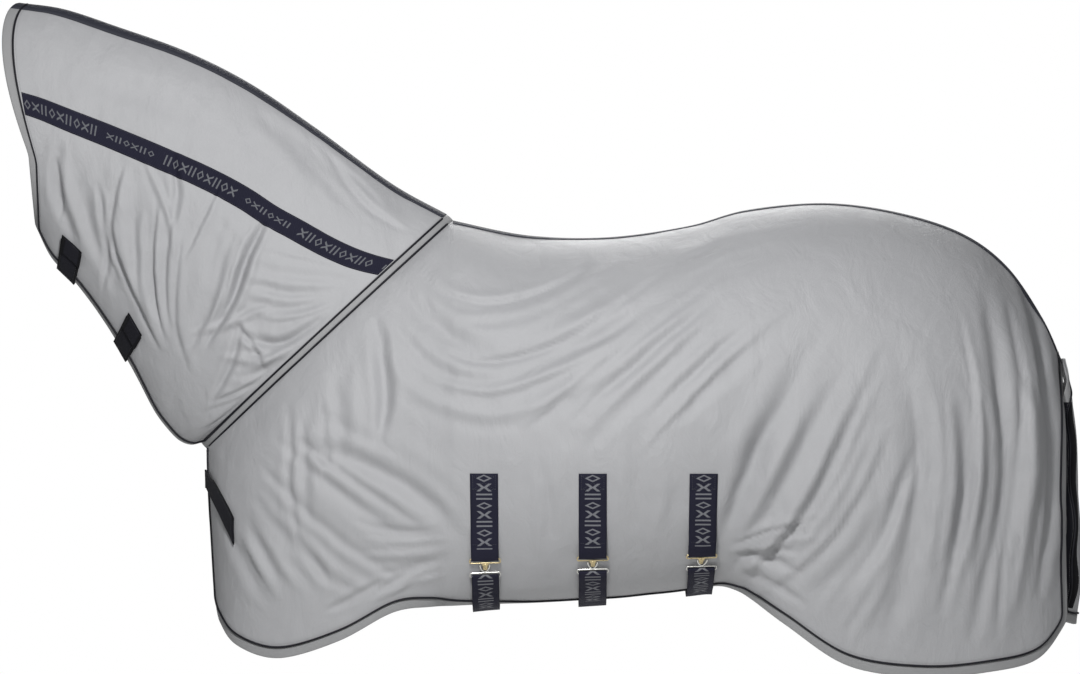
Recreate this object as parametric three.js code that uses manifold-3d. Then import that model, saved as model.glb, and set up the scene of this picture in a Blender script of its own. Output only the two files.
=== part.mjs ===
// A horse's fly sheet with a sewn-in neck: two body panels, two neck panels, trims, belly straps
// with clasps, hook-and-loop straps at the throat and chest, and a tail flap.
// Millimetres, +Z up, +X towards the tail, -Y the horse's left (near) side, origin at the withers.
import * as THREE from 'three';
import { mergeVertices } from 'three/addons/utils/BufferGeometryUtils.js';
import Module from 'manifold-3d';

const wasm = await Module();
wasm.setup();

// ---- Driving sizes ----
const BACK_LENGTH = 1362; // withers to the back of the tail flap
const CHEST_REACH = 532; // withers forward to the chest opening
const SHEET_DROP = 980; // withers down to the lowest hem
const SHEET_WIDTH = 644; // over the ribs
const SEAM_DROP = 493; // withers down to the foot of the neck seam
const NECK_REACH = 939; // withers forward to the top of the poll edge
const NECK_RISE = 472; // withers up to the poll
const NECK_BASE_WIDTH = 300; // over the neck where it joins the body
const NECK_POLL_WIDTH = 170; // over the neck behind the ears
const POLL_BULGE = 40; // how far the poll edge swells forward

// ---- Cloth, trims and webbing ----
const FABRIC = 1.6; // stand-in thickness of the cloth
const GAP = 0.4; // between pieces that are sewn or laid together
const SPLIT = 6; // between the near and off panels, under the centre tapes
const TRIM = 1.6; // thickness of bindings and tapes
const BINDING_WIDTH = 20;
const PIPING_WIDTH = 6;
const PIPING_HEIGHT = 3.2;
const TAPE_HALF = 14; // spine tape and crest strip, each side of the centre
const COLLAR_WIDTH = 18; // strip between the neck panel and the body panel
const BAND_WIDTH = 50; // navy tape along the neck
const WEB = 1.8; // webbing thickness
const HOOK_TAPE_WIDTH = 54; // throat straps
const CHEST_TAPE_WIDTH = 46;
const THROAT_STRAP_LENGTH = 84;
const PATCH = 3.2; // sewn hook-and-loop patch and doubled strap root

// ---- Belly straps ----
const SURCINGLE_WIDTH = 60;
const SURCINGLES = [72, 304, 540]; // centres behind the withers
const TAB_DROP = 544; // withers down to the top of the sewn tabs
const TAB_LENGTH = 188;
const ROOT_LENGTH = 100; // doubled webbing sewn to the off side
const CLASP_LENGTH = 42; // bar to bar
const BAR_RADIUS = 2;
const BAR_CLEARANCE = 0.6;
const PLATE = 2; // clasp plate thickness
const SLIDER_LENGTH = 12;
const SLIDER_WALL = 1.8;
const SLIDER_CLEARANCE = 1.25;

// ---- Tail flap ----
const FLAP_HALF_WIDTH = 150;
const FLAP_LENGTH = 572;
const FLAP_DISH = 22; // how far its side edges curl forward

const V = (x, y, z) => new THREE.Vector3(x, y, z);
const lerp = THREE.MathUtils.lerp;
const sheet = new THREE.Group();

const cloth = { color: 0xa9abae, roughness: 0.62, metalness: 0.0 };
const greyBinding = { color: 0x9b9c9c, roughness: 0.7, metalness: 0.0 };
const piping = { color: 0x17181f, roughness: 0.45, metalness: 0.0 };
const navyWeb = { color: 0x23243a, roughness: 0.75, metalness: 0.0 };
const blackTape = { color: 0x131318, roughness: 0.85, metalness: 0.0 };
const stretch = { color: 0x33353d, roughness: 0.8, metalness: 0.0 };
const nickel = { color: 0xcbb58b, roughness: 0.25, metalness: 1.0 };

function add(name, geometry, look) {
  const mesh = new THREE.Mesh(geometry, new THREE.MeshStandardMaterial(look));
  mesh.name = name;
  sheet.add(mesh);
  return mesh;
}

function fromTriangles(points) {
  const geometry = new THREE.BufferGeometry();
  const flat = points.flatMap((p) => [p.x, p.y, p.z]);
  geometry.setAttribute('position', new THREE.Float32BufferAttribute(flat, 3));
  const merged = mergeVertices(geometry, 1e-4);
  merged.computeVertexNormals();
  return merged;
}

// A closed solid between an outer and an inner net of points, both [across][along]. Cells are split
// along one diagonal, or the other where turned says so, so that pieces laid together bend alike.
function layer(outer, inner, turned = () => false) {
  const triangles = [];
  const quad = (a, b, c, d, other = false) => {
    if (other) {
      triangles.push(b, c, d, b, d, a);
    } else {
      triangles.push(a, b, c, a, c, d);
    }
  };
  const last = outer.length - 1;
  const end = outer[0].length - 1;
  for (let i = 0; i < last; i++) {
    for (let k = 0; k < end; k++) {
      const other = turned(i, k);
      quad(outer[i][k], outer[i][k + 1], outer[i + 1][k + 1], outer[i + 1][k], other);
      quad(inner[i][k], inner[i + 1][k], inner[i + 1][k + 1], inner[i][k + 1], other);
    }
    quad(outer[i][0], outer[i + 1][0], inner[i + 1][0], inner[i][0]);
    quad(outer[i][end], inner[i][end], inner[i + 1][end], outer[i + 1][end]);
  }
  for (let k = 0; k < end; k++) {
    quad(outer[0][k], inner[0][k], inner[0][k + 1], outer[0][k + 1]);
    quad(outer[last][k], outer[last][k + 1], inner[last][k + 1], inner[last][k]);
  }
  return fromTriangles(triangles);
}

// The same piece on the horse's other side.
function mirrored(geometry) {
  const copy = geometry.clone().scale(1, -1, 1);
  const index = copy.index.array;
  for (let k = 0; k < index.length; k += 3) {
    [index[k], index[k + 1]] = [index[k + 1], index[k]];
  }
  copy.computeVertexNormals();
  return copy;
}

function addPair(name, geometry, look) {
  add(`${name}_near`, geometry, look);
  add(`${name}_off`, mirrored(geometry), look);
}

// A curve of numbers through values at 0, 1, 2 and so on.
function through(values, s) {
  const last = values.length - 1;
  const k = Math.min(Math.floor(s), last - 1);
  const at = (n) => values[THREE.MathUtils.clamp(n, 0, last)];
  const f = s - k;
  const a = at(k - 1);
  const b = at(k);
  const c = at(k + 1);
  const d = at(k + 2);
  const bend = 2 * a - 5 * b + 4 * c - d + f * (3 * b - a - 3 * c + d);
  return b + 0.5 * f * (c - a + f * bend);
}

// Spaces a rib's points by distance, so that a share of its length can be asked for.
function measured(points) {
  const run = [0];
  for (let k = 1; k < points.length; k++) {
    run.push(run[k - 1] + points[k].distanceTo(points[k - 1]));
  }
  const length = run[run.length - 1];
  const at = (share) => {
    const want = THREE.MathUtils.clamp(share, 0, 1) * length;
    let k = 1;
    while (k < points.length - 1 && run[k] < want) {
      k++;
    }
    return points[k - 1].clone().lerp(points[k], (want - run[k - 1]) / (run[k] - run[k - 1]));
  };
  return { length, at };
}

// ---- The neck seam, from the withers round the neck's base to the chest ----
const withers = V(0, 0, 0);
const chest = V(-CHEST_REACH, 0, -SEAM_DROP);
const seamUp = V(-SEAM_DROP, 0, CHEST_REACH).normalize(); // square to the seam, towards the poll

function neckSection(top, foot, halfWidth, turn) {
  const point = top.clone().lerp(foot, (1 - Math.cos(turn)) / 2);
  point.y = -SPLIT / 2 - halfWidth * Math.max(0, Math.sin(turn)) ** 1.2;
  return point;
}

// ---- Body shape: ribs from the seam or spine down to the hem ----
// Drafted in a base size and graded to the driving sizes. Stations 0 to 7 start on the neck seam.
const DRAFT = { back: 1362, drop: 980, half: 322, chest: 532 };
const SEAM_STATIONS = 7;
const spineX = [0, 165, 339, 512, 640, 809, 966, 1105, 1203, 1280, 1320];
const spineZ = [0, -33, -37, -13, 22, 37, 17, -28, -100, -212, -300];
const half = [8, 118, 182, 226, 250, 262, 270, 278, 304, 320, 322, 314, 300, 292, 280, 254, 208, 150];
const widest = [
  -640, -660, -650, -620, -580, -540, -500, -480, -455, -445, -435, -430, -430, -440, -460, -500, -560, -600,
];
const hemX = [
  -512, -500, -462, -370, -240, -125, -45, 10, 165, 339, 500, 604, 716, 850, 1010, 1150, 1262, 1326,
];
const hemZ = [
  -830, -868, -915, -941, -903, -842, -831, -829, -824, -815, -799, -792, -867, -955, -980, -970, -942, -862,
];
const hemY = [8, 105, 165, 206, 232, 232, 205, 158, 118, 100, 100, 138, 235, 262, 262, 248, 208, 158];
const lean = [60, 50, 42, 38, 34, 28, 22, 16, 10, 6, 5, 5, 4, 6, 10, 16, 24, 30];
const tuck = [20, 25, 28, 30, 32, 45, 64, 80, 86, 88, 87, 76, 45, 30, 24, 24, 24, 24];
const STATIONS = half.length - 1;

const graded = {
  x: (x) => (x < 0 ? (x * CHEST_REACH) / DRAFT.chest : (x * BACK_LENGTH) / DRAFT.back),
  y: (y) => (y * SHEET_WIDTH) / 2 / DRAFT.half,
  z: (z) => (z * SHEET_DROP) / DRAFT.drop,
};

function ribTop(s) {
  if (s <= SEAM_STATIONS) {
    return neckSection(withers, chest, NECK_BASE_WIDTH / 2, Math.PI * (1 - s / SEAM_STATIONS));
  }
  const k = s - SEAM_STATIONS;
  return V(graded.x(through(spineX, k)), -SPLIT / 2, graded.z(through(spineZ, k)));
}

const ribStore = new Map();

function rib(s) {
  if (!ribStore.has(s)) {
    ribStore.set(s, makeRib(s));
  }
  return ribStore.get(s);
}

function makeRib(s) {
  const top = ribTop(s);
  const wide = Math.max(graded.y(through(half, s)), -top.y + 1);
  const wideZ = graded.z(through(widest, s));
  const foot = V(graded.x(through(hemX, s)), -graded.y(through(hemY, s)), graded.z(through(hemZ, s)));
  const start = THREE.MathUtils.degToRad(through(lean, s));
  const turn = THREE.MathUtils.degToRad(through(tuck, s));
  const points = [];
  const steps = 24;
  for (let k = 0; k <= steps; k++) {
    const a = lerp(start, Math.PI / 2, k / steps);
    const out = (Math.sin(a) - Math.sin(start)) / (1 - Math.sin(start));
    points.push(V(0, lerp(top.y, -wide, out), lerp(wideZ, top.z, Math.cos(a) / Math.cos(start))));
  }
  for (let k = 1; k <= steps; k++) {
    const b = (turn * k) / steps;
    const inward = (1 - Math.cos(b)) / (1 - Math.cos(turn));
    points.push(V(0, lerp(-wide, foot.y, inward), lerp(wideZ, foot.z, Math.sin(b) / Math.sin(turn))));
  }
  const line = measured(points);
  const at = (share) => {
    const point = line.at(share);
    point.x = lerp(top.x, foot.x, share);
    return point;
  };
  return { length: line.length, at };
}

// ---- Panels: a net of points that the cloth and everything sewn on it share ----
class Panel {
  constructor(points) {
    this.points = points;
    this.columns = points.length - 1;
    this.rows = points[0].length - 1;
    this.normals = points.map((column, i) => column.map((_, j) => this.normalAt(i, j)));
  }

  normalAt(i, j) {
    const p = this.points;
    const along = p[Math.min(i + 1, this.columns)][j].clone().sub(p[Math.max(i - 1, 0)][j]);
    const down = p[i][Math.min(j + 1, this.rows)].clone().sub(p[i][Math.max(j - 1, 0)]);
    return down.cross(along).normalize();
  }

  // A point of the net, whole or between its lines, lifted off the cloth by a height.
  at(i, j, height) {
    const i0 = Math.min(Math.floor(i), this.columns - 1);
    const j0 = Math.min(Math.floor(j), this.rows - 1);
    const mix = (net) => {
      const front = net[i0][j0].clone().lerp(net[i0][j0 + 1], j - j0);
      const back = net[i0 + 1][j0].clone().lerp(net[i0 + 1][j0 + 1], j - j0);
      return front.lerp(back, i - i0);
    };
    return mix(this.points).addScaledVector(mix(this.normals), height);
  }

  solid(low, high) {
    const net = (height) => this.points.map((column, i) => column.map((_, j) => this.at(i, j, height)));
    return layer(net(high), net(low));
  }

  columnLength(i) {
    let length = 0;
    for (let j = 1; j <= this.rows; j++) {
      length += this.at(i, j, 0).distanceTo(this.at(i, j - 1, 0));
    }
    return length;
  }

  // The row, whole or between lines, that lies a distance down a column from its top.
  rowAt(i, distance) {
    let left = distance;
    for (let j = 1; j <= this.rows; j++) {
      const step = this.at(i, j, 0).distanceTo(this.at(i, j - 1, 0));
      if (step >= left || j === this.rows) {
        return j - 1 + left / step;
      }
      left -= step;
    }
    return this.rows;
  }

  rowDistance(i, row) {
    let length = 0;
    for (let j = 1; j <= row; j++) {
      length += this.at(i, j, 0).distanceTo(this.at(i, j - 1, 0));
    }
    return length;
  }
}

// A strip along the front edge, the hem and the rear edge, between two insets counted in net lines.
function edgeStrip(panel, a, b, low, high, topRow, rearTopRow) {
  const stops = [];
  const { columns: n, rows: r } = panel;
  stops.push([[a, topRow], [b, topRow]]);
  for (let j = Math.floor(topRow) + 1; j <= r - b; j++) {
    stops.push([[a, j], [b, j]]);
  }
  stops.push([[a, r - a], [b, r - b]]);
  const hemStart = stops.length - 1;
  const goesUpRear = rearTopRow !== undefined;
  const lastColumn = goesUpRear ? n - Math.ceil(b) : n;
  for (let i = Math.ceil(b); i <= lastColumn; i++) {
    stops.push([[i, r - a], [i, r - b]]);
  }
  const hemEnd = stops.length;
  if (goesUpRear) {
    stops.push([[n - a, r - a], [n - b, r - b]]);
    for (let j = r - Math.ceil(b); j > rearTopRow; j--) {
      stops.push([[n - a, j], [n - b, j]]);
    }
    stops.push([[n - a, rearTopRow], [n - b, rearTopRow]]);
  }
  const net = (height) => [0, 1].map((side) => stops.map((stop) => panel.at(...stop[side], height)));
  return layer(net(high), net(low), (_, k) => k >= hemStart && k < hemEnd);
}

// ---- Body panels ----
function columnStations() {
  const marks = [0.95, 1.7, 2.5, 3.3, 4.1, 4.9, 5.6, 6.2];
  const edges = SURCINGLES.flatMap((x) => [x - SURCINGLE_WIDTH / 2, x + SURCINGLE_WIDTH / 2]);
  const straps = edges.map((x) => stationAt(graded.x(x)));
  const open = [8.1, 8.4, 9.35, 9.7, 10.9, 11.45, 12, 12.5, 13, 13.5, 14, 14.5, 15, 15.5, 16, 16.45];
  const clear = open.filter((s) => straps.every((edge) => Math.abs(edge - s) > 0.15));
  return { seam: marks, back: [...straps, ...clear].sort((p, q) => p - q), straps };
}

function stationAt(x) {
  let low = SEAM_STATIONS;
  let high = STATIONS;
  for (let k = 0; k < 40; k++) {
    const middle = (low + high) / 2;
    if (rib(middle).at(0.75).x < x) {
      low = middle;
    } else {
      high = middle;
    }
  }
  return low;
}

const stations = columnStations();
const BARREL_STATION = 9;
const MIDDLE_ROWS = [0.1, 0.2, 0.3, 0.4, 0.5, 0.57];
const TAB_ROW = 2 + MIDDLE_ROWS.length;

// Where a rib crosses the belly straps' rows: tab top, root end, hook bar and eye bar.
function strapShares(line) {
  let top = 0.4;
  while (line.at(top).z > -TAB_DROP) {
    top += 0.0005;
  }
  return [0, ROOT_LENGTH, TAB_LENGTH, TAB_LENGTH + CLASP_LENGTH].map((mm) => top + mm / line.length);
}

function rowShares(station, line) {
  const strapped = stations.straps.includes(station);
  const low = strapped ? strapShares(line) : strapShares(rib(BARREL_STATION));
  const edge = [BINDING_WIDTH + PIPING_WIDTH, BINDING_WIDTH, 0].map((mm) => 1 - mm / line.length);
  return [0, TAPE_HALF / line.length, ...MIDDLE_ROWS, ...low, lerp(low[3], 1, 0.35), ...edge];
}

// Station of a column set a distance in from the front or the rear edge, at one share of the ribs.
function insetStation(edge, towards, distance, share) {
  const step = rib(edge + towards * 0.3).at(share).distanceTo(rib(edge).at(share)) / 0.3;
  return edge + (towards * distance) / step;
}

function makeBody() {
  const inset = [0, BINDING_WIDTH, BINDING_WIDTH + PIPING_WIDTH];
  const columns = [
    ...inset.map((mm) => (share) => insetStation(0, 1, mm, share)),
    ...stations.seam.map((s) => () => s),
    () => insetStation(SEAM_STATIONS, -1, TAPE_HALF, 0),
    () => SEAM_STATIONS,
    ...stations.back.map((s) => () => s),
    ...inset.reverse().map((mm) => (share) => insetStation(STATIONS, -1, mm, share)),
  ];
  const points = columns.map((station) => {
    const shares = rowShares(station(0.5), rib(station(0.5)));
    return shares.map((share) => rib(station(share)).at(share));
  });
  return new Panel(points);
}

const body = makeBody();
const WITHERS_COLUMN = 3 + stations.seam.length + 1;
const OVER = FABRIC + GAP; // height of the first thing sewn on the cloth
const CLEAR = OVER + PIPING_HEIGHT + GAP; // height of a strap that crosses the piping

// ---- Neck panels ----
const crestLine = new THREE.CatmullRomCurve3(
  [[-939, 472], [-846, 458], [-723, 417], [-569, 360], [-434, 291], [-293, 195], [-113, 63], [0, 0]].map(
    ([x, z]) => V((x * NECK_REACH) / 939, 0, (z * NECK_RISE) / 472),
  ),
);
const throatLine = new THREE.CatmullRomCurve3(
  [[-371, 484], [-334, 411], [-277, 352], [-206, 254], [-158, 174], [-102, 70], [-73, 31], [-47, 5],
    [-22, -4], [0, 0]].map(([x, z]) => {
    const reach = (NECK_REACH - CHEST_REACH) / (939 - 532);
    const rise = (NECK_RISE + SEAM_DROP) / (472 + 493);
    return V(chest.x + x * reach, 0, chest.z + z * rise);
  }),
);

function neckRib(t) {
  const back = seamUp.clone().multiplyScalar(COLLAR_WIDTH);
  const top = crestLine.getPointAt(t).addScaledVector(back, t);
  const foot = throatLine.getPointAt(t).addScaledVector(back, t);
  const halfWidth = lerp(NECK_POLL_WIDTH, NECK_BASE_WIDTH, t ** 1.6) / 2;
  const steps = 28;
  const points = [];
  for (let k = 0; k <= steps; k++) {
    const turn = (Math.PI * k) / steps;
    const point = neckSection(top, foot, halfWidth, turn);
    const swell = Math.sin(Math.PI * Math.min(1, k / steps / 0.62)) * (1 - t) ** 3;
    point.x -= POLL_BULGE * swell;
    points.push(point);
  }
  return measured(points);
}

const THROAT_STRAPS = [132, 341]; // centres along the throat edge, from the poll

function neckColumns() {
  const run = throatLine.getLength();
  const straps = THROAT_STRAPS.flatMap((mm) => [mm - HOOK_TAPE_WIDTH / 2, mm + HOOK_TAPE_WIDTH / 2]);
  const ends = straps.map((mm) => mm / run);
  const open = [0.34, 0.42, 0.66, 0.74, 0.82, 0.9];
  const clear = open.filter((t) => ends.every((edge) => Math.abs(edge - t) > 0.03));
  return { all: [...ends, ...clear].sort((p, q) => p - q), ends };
}

const neckLines = neckColumns();

function makeNeck() {
  const seamPoints = [];
  for (let i = WITHERS_COLUMN; i >= 0; i--) {
    seamPoints.push(body.points[i][0].clone().addScaledVector(seamUp, COLLAR_WIDTH));
  }
  const run = [0];
  for (let k = 1; k < seamPoints.length; k++) {
    run.push(run[k - 1] + seamPoints[k].distanceTo(seamPoints[k - 1]));
  }
  const shares = run.map((mm) => mm / run[run.length - 1]);
  const rows = shares.length - 1;
  const inset = (mm) => (t) => {
    const line = neckRib(t);
    return Math.abs(mm / line.length);
  };
  const lines = [inset(0), inset(BINDING_WIDTH), inset(BINDING_WIDTH + PIPING_WIDTH)];
  const poll = [0, BINDING_WIDTH, BINDING_WIDTH + PIPING_WIDTH].map((mm) => mm / crestLine.getLength());
  const columns = [...poll, ...neckLines.all].map((t) => {
    const line = neckRib(t);
    return shares.map((share, j) => {
      if (j === 1) {
        return line.at(TAPE_HALF / line.length);
      }
      const fromFoot = rows - j;
      return line.at(fromFoot < lines.length ? 1 - lines[fromFoot](t) : share);
    });
  });
  return new Panel([...columns, seamPoints]);
}

const neck = makeNeck();

function makePanels() {
  addPair('body_panel', body.solid(0, FABRIC), cloth);
  addPair('neck_panel', neck.solid(0, FABRIC), cloth);
}

// ---- Sewn trims ----
const BINDING_INSET = 1 - GAP / 2 / BINDING_WIDTH;
const PIPING_INSET = [1 + GAP / 2 / PIPING_WIDTH, 2 - GAP / 2 / PIPING_WIDTH];

function makeEdgeTrims() {
  const bodyTops = [0.05, 1.05];
  const neckTop = 1.05;
  const high = OVER + TRIM;
  const proud = OVER + PIPING_HEIGHT;
  addPair('hem_binding', edgeStrip(body, 0, BINDING_INSET, OVER, high, ...bodyTops), greyBinding);
  addPair('hem_piping', edgeStrip(body, ...PIPING_INSET, OVER, proud, ...bodyTops), piping);
  addPair('neck_binding', edgeStrip(neck, 0, BINDING_INSET, OVER, high, neckTop), greyBinding);
  addPair('neck_piping', edgeStrip(neck, ...PIPING_INSET, OVER, proud, neckTop), piping);
}

// A tape that saddles the top edges of both panels, from one column to another.
function saddle(panel, from, to, widthShare) {
  const across = [[widthShare, 1], [0, 1], [0, -1], [widthShare, -1]];
  const net = (height) =>
    across.map(([j, side]) => {
      const line = [];
      for (let i = from; i <= to; i++) {
        const point = panel.at(i, j, height);
        point.y *= side;
        line.push(point);
      }
      return line;
    });
  return layer(net(OVER + TRIM), net(OVER), (side) => side === 0);
}

function makeCentreTapes() {
  add('spine_tape', saddle(body, WITHERS_COLUMN, body.columns, 1 - GAP / TAPE_HALF), stretch);
  add('crest_strip', saddle(neck, 0, neck.columns, 1 - GAP / TAPE_HALF), stretch);
}

// The grey strip between neck and body, and the piping over its two seams.
function makeCollar() {
  const last = neck.columns;
  const seam = (share, height, from, to) => {
    const line = [];
    for (const k of rowsBetween(from, to)) {
      const front = neck.at(last, k, height);
      const back = body.at(WITHERS_COLUMN - k, 0, height);
      line.push(front.lerp(back, share));
    }
    return line;
  };
  const edge = GAP / COLLAR_WIDTH;
  const strip = (height) => [edge, 1 - edge].map((share) => seam(share, height, 0, neck.rows));
  addPair('collar_strip', layer(strip(FABRIC), strip(0)), greyBinding);

  const side = PIPING_WIDTH / 2;
  const from = 1.1;
  const to = neck.rows - 2.1;
  const rows = rowsBetween(from, to);
  const neckStep = (k) => neck.at(last, k, 0).distanceTo(neck.at(last - 1, k, 0));
  const front = (height) => [
    rows.map((k) => neck.at(last - side / neckStep(k), k, height)),
    seam(side / COLLAR_WIDTH, height, from, to),
  ];
  addPair('collar_front_piping', layer(front(OVER + PIPING_HEIGHT), front(OVER + 0.1)), piping);
  const rear = (height) => [
    seam(1 - side / COLLAR_WIDTH, height, from, to),
    rows.map((k) => body.at(WITHERS_COLUMN - k, side / TAPE_HALF, height)),
  ];
  addPair('collar_rear_piping', layer(rear(OVER + PIPING_HEIGHT), rear(OVER)), piping);
}

function rowsBetween(from, to) {
  const rows = [from];
  for (let k = Math.floor(from) + 1; k < to; k++) {
    rows.push(k);
  }
  rows.push(to);
  return rows;
}

// The woven tape that runs from the poll edge down to the seam, part of the way down each rib.
const BAND_SHARE = [0.45, 0.265];
const BAND_STEPS = 4;
const BAND_LIFT = 0.7; // the band bridges the slight bends of the cloth under it

function makeNeckBand() {
  const from = PIPING_INSET[1] + 0.2;
  const to = neck.columns - 0.12;
  const columns = rowsBetween(from, to);
  const net = (height) =>
    columns.map((i) => {
      const share = lerp(...BAND_SHARE, i / neck.columns);
      const centre = neck.columnLength(i) * share;
      const line = [];
      for (let k = 0; k <= BAND_STEPS; k++) {
        const row = neck.rowAt(i, centre + BAND_WIDTH * (k / BAND_STEPS - 0.5));
        line.push(neck.at(i, row, height));
      }
      return line;
    });
  addPair('neck_band', layer(net(OVER + BAND_LIFT + TRIM), net(OVER + BAND_LIFT)), navyWeb);
}

// ---- Webbing laid down a panel: a path of [distance down, height], as wide as one net column ----
function withRows(panel, i, path) {
  const full = [path[0]];
  for (let k = 1; k < path.length; k++) {
    const [d0, h0] = path[k - 1];
    const [d1, h1] = path[k];
    const stops = [];
    for (let j = 0; j <= panel.rows; j++) {
      const d = panel.rowDistance(i, j);
      if ((d - d0) * (d1 - d) > 0.01) {
        stops.push([d, lerp(h0, h1, (d - d0) / (d1 - d0))]);
      }
    }
    full.push(...stops.sort((p, q) => (p[0] - q[0]) * Math.sign(d1 - d0)), path[k]);
  }
  return full;
}

// Points either side of a path, half a thickness away: +1 on its left, -1 on its right.
function offsetPath(path, distance) {
  return path.map(([d, h], k) => {
    const before = path[Math.max(k - 1, 0)];
    const after = path[Math.min(k + 1, path.length - 1)];
    const run = Math.hypot(after[0] - before[0], after[1] - before[1]);
    return [d - ((after[1] - before[1]) * distance) / run, h + ((after[0] - before[0]) * distance) / run];
  });
}

function webNet(panel, column, path, side) {
  const points = offsetPath(path, side);
  return [column, column + 1].map((i) =>
    points.map(([d, h]) => panel.at(i, panel.rowAt(column + 0.5, d), h)),
  );
}

function web(panel, column, path, thickness) {
  const full = withRows(panel, column + 0.5, path);
  return layer(webNet(panel, column, full, thickness / 2), webNet(panel, column, full, -thickness / 2));
}

// Half a turn of webbing round a bar, from the outer layer to the inner one, or back.
function turnRound(d, h, radius, downwards) {
  const path = [];
  const steps = 8;
  for (let k = 0; k <= steps; k++) {
    const a = downwards ? Math.PI / 2 - (Math.PI * k) / steps : -Math.PI / 2 - (Math.PI * k) / steps;
    path.push([d + radius * Math.cos(a), h + radius * Math.sin(a)]);
  }
  return path;
}

// ---- Belly straps ----
const LOOP = BAR_RADIUS + BAR_CLEARANCE + WEB / 2;
const FOLD_LIFT = 1.3; // a doubled end stands a little off the cloth
const BAR_HEIGHT = OVER + FOLD_LIFT + WEB / 2 + LOOP;
const FOLD_BACK = 22; // webbing doubled back and stitched behind a loop
const LOW = OVER + WEB / 2;
const HIGH = CLEAR + WEB / 2 + 0.5; // a crossing strap lies a little slack
const ROOT_LAP = 20;
const BELLY_SAG = 8;
const SLIDER_PLACE = 121; // below the top of the root

function makeSurcingle(number, column) {
  const i = column + 0.5;
  const top = body.rowDistance(i, TAB_ROW);
  const rootEnd = body.rowDistance(i, TAB_ROW + 1);
  const hookBar = body.rowDistance(i, TAB_ROW + 2);
  const eyeBar = body.rowDistance(i, TAB_ROW + 3);
  const name = (piece) => `surcingle_${number}_${piece}`;
  const tabPath = [
    [top, LOW],
    [rootEnd, LOW],
    [hookBar - 3 * FOLD_BACK, LOW + FOLD_LIFT + 0.4],
    ...turnRound(hookBar, BAR_HEIGHT, LOOP, true),
    [hookBar - FOLD_BACK, BAR_HEIGHT - LOOP],
  ];
  add(name('tab'), web(body, column, tabPath, WEB), navyWeb);
  add(name('strap'), bellyStrap(column, eyeBar, rootEnd - ROOT_LAP), navyWeb);
  const rootPath = [[top, OVER + PATCH / 2], [rootEnd, OVER + PATCH / 2]];
  add(name('root'), mirrored(web(body, column, rootPath, PATCH)), navyWeb);
  placeClasp(name, column, hookBar, eyeBar);
  placeSlider(name('slider'), column, top + SLIDER_PLACE);
}

// From the loop round the eye's bar, down the near side, under the belly and up to the root.
function bellyStrap(column, eyeBar, end) {
  const i = column + 0.5;
  const hem = body.columnLength(i);
  const nearPath = withRows(body, i, [
    [eyeBar + FOLD_BACK, BAR_HEIGHT - LOOP],
    ...turnRound(eyeBar, BAR_HEIGHT, LOOP, false),
    [eyeBar + 3 * FOLD_BACK, HIGH],
    [hem, HIGH],
  ]);
  const offPath = withRows(body, i, [[hem, HIGH], [end, HIGH]]);
  const net = (side) => {
    const near = webNet(body, column, nearPath, side);
    const off = webNet(body, column, offPath, -side);
    return near.map((line, edge) => {
      const other = off[edge].map((point) => V(point.x, -point.y, point.z));
      const from = line[line.length - 1];
      const under = [0.25, 0.5, 0.75].map((share) => {
        const point = from.clone().lerp(other[0], share);
        point.z -= BELLY_SAG * Math.sin(Math.PI * share);
        return point;
      });
      return [...line, ...under, ...other];
    });
  };
  return layer(net(WEB / 2), net(-WEB / 2));
}

// ---- Clasps ----
function solid(geometry) {
  geometry.deleteAttribute('normal');
  geometry.deleteAttribute('uv');
  const merged = mergeVertices(geometry, 1e-4);
  return new wasm.Manifold(
    new wasm.Mesh({
      numProp: 3,
      vertProperties: new Float32Array(merged.attributes.position.array),
      triVerts: new Uint32Array(merged.index.array),
    }),
  );
}

function geometryOf(manifold) {
  const mesh = manifold.getMesh();
  const geometry = new THREE.BufferGeometry();
  geometry.setAttribute('position', new THREE.BufferAttribute(new Float32Array(mesh.vertProperties), 3));
  geometry.setIndex(new THREE.BufferAttribute(new Uint32Array(mesh.triVerts), 1));
  geometry.computeVertexNormals();
  return geometry;
}

function block(x0, x1, y0, y1, z0, z1) {
  const box = new THREE.BoxGeometry(x1 - x0, y1 - y0, z1 - z0);
  return solid(box.translate((x0 + x1) / 2, (y0 + y1) / 2, (z0 + z1) / 2));
}

const SLOT_CLEARANCE = 2; // each side of the webbing
const SIDE_POST = 3;
const SLOT_END = BAR_RADIUS + BAR_CLEARANCE + WEB + 1.1;
const BAR_PLATE = 5.4;
const FINGER_HALF_WIDTH = 6;
const FORK_CLEARANCE = 1.2; // between the hook's finger and the eye's fork
const PRONG_WIDTH = 4;
const FORK_END_GAP = -2; // from the prongs' tips to the hook's plate

// A flat frame whose bar, at y 0, sits in a webbing loop; towards is -1 downwards, +1 upwards.
function barFrame(towards, width) {
  const slotHalf = width / 2 + SLOT_CLEARANCE;
  const frameHalf = slotHalf + SIDE_POST;
  const near = Math.min(-BAR_RADIUS * towards, towards * (SLOT_END + BAR_PLATE));
  const far = Math.max(-BAR_RADIUS * towards, towards * (SLOT_END + BAR_PLATE));
  const slot = [BAR_RADIUS * towards, SLOT_END * towards].sort((p, q) => p - q);
  const plate = block(-frameHalf, frameHalf, near, far, -PLATE / 2, PLATE / 2);
  return plate.subtract(block(-slotHalf, slotHalf, slot[0], slot[1], -PLATE, PLATE));
}

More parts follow.
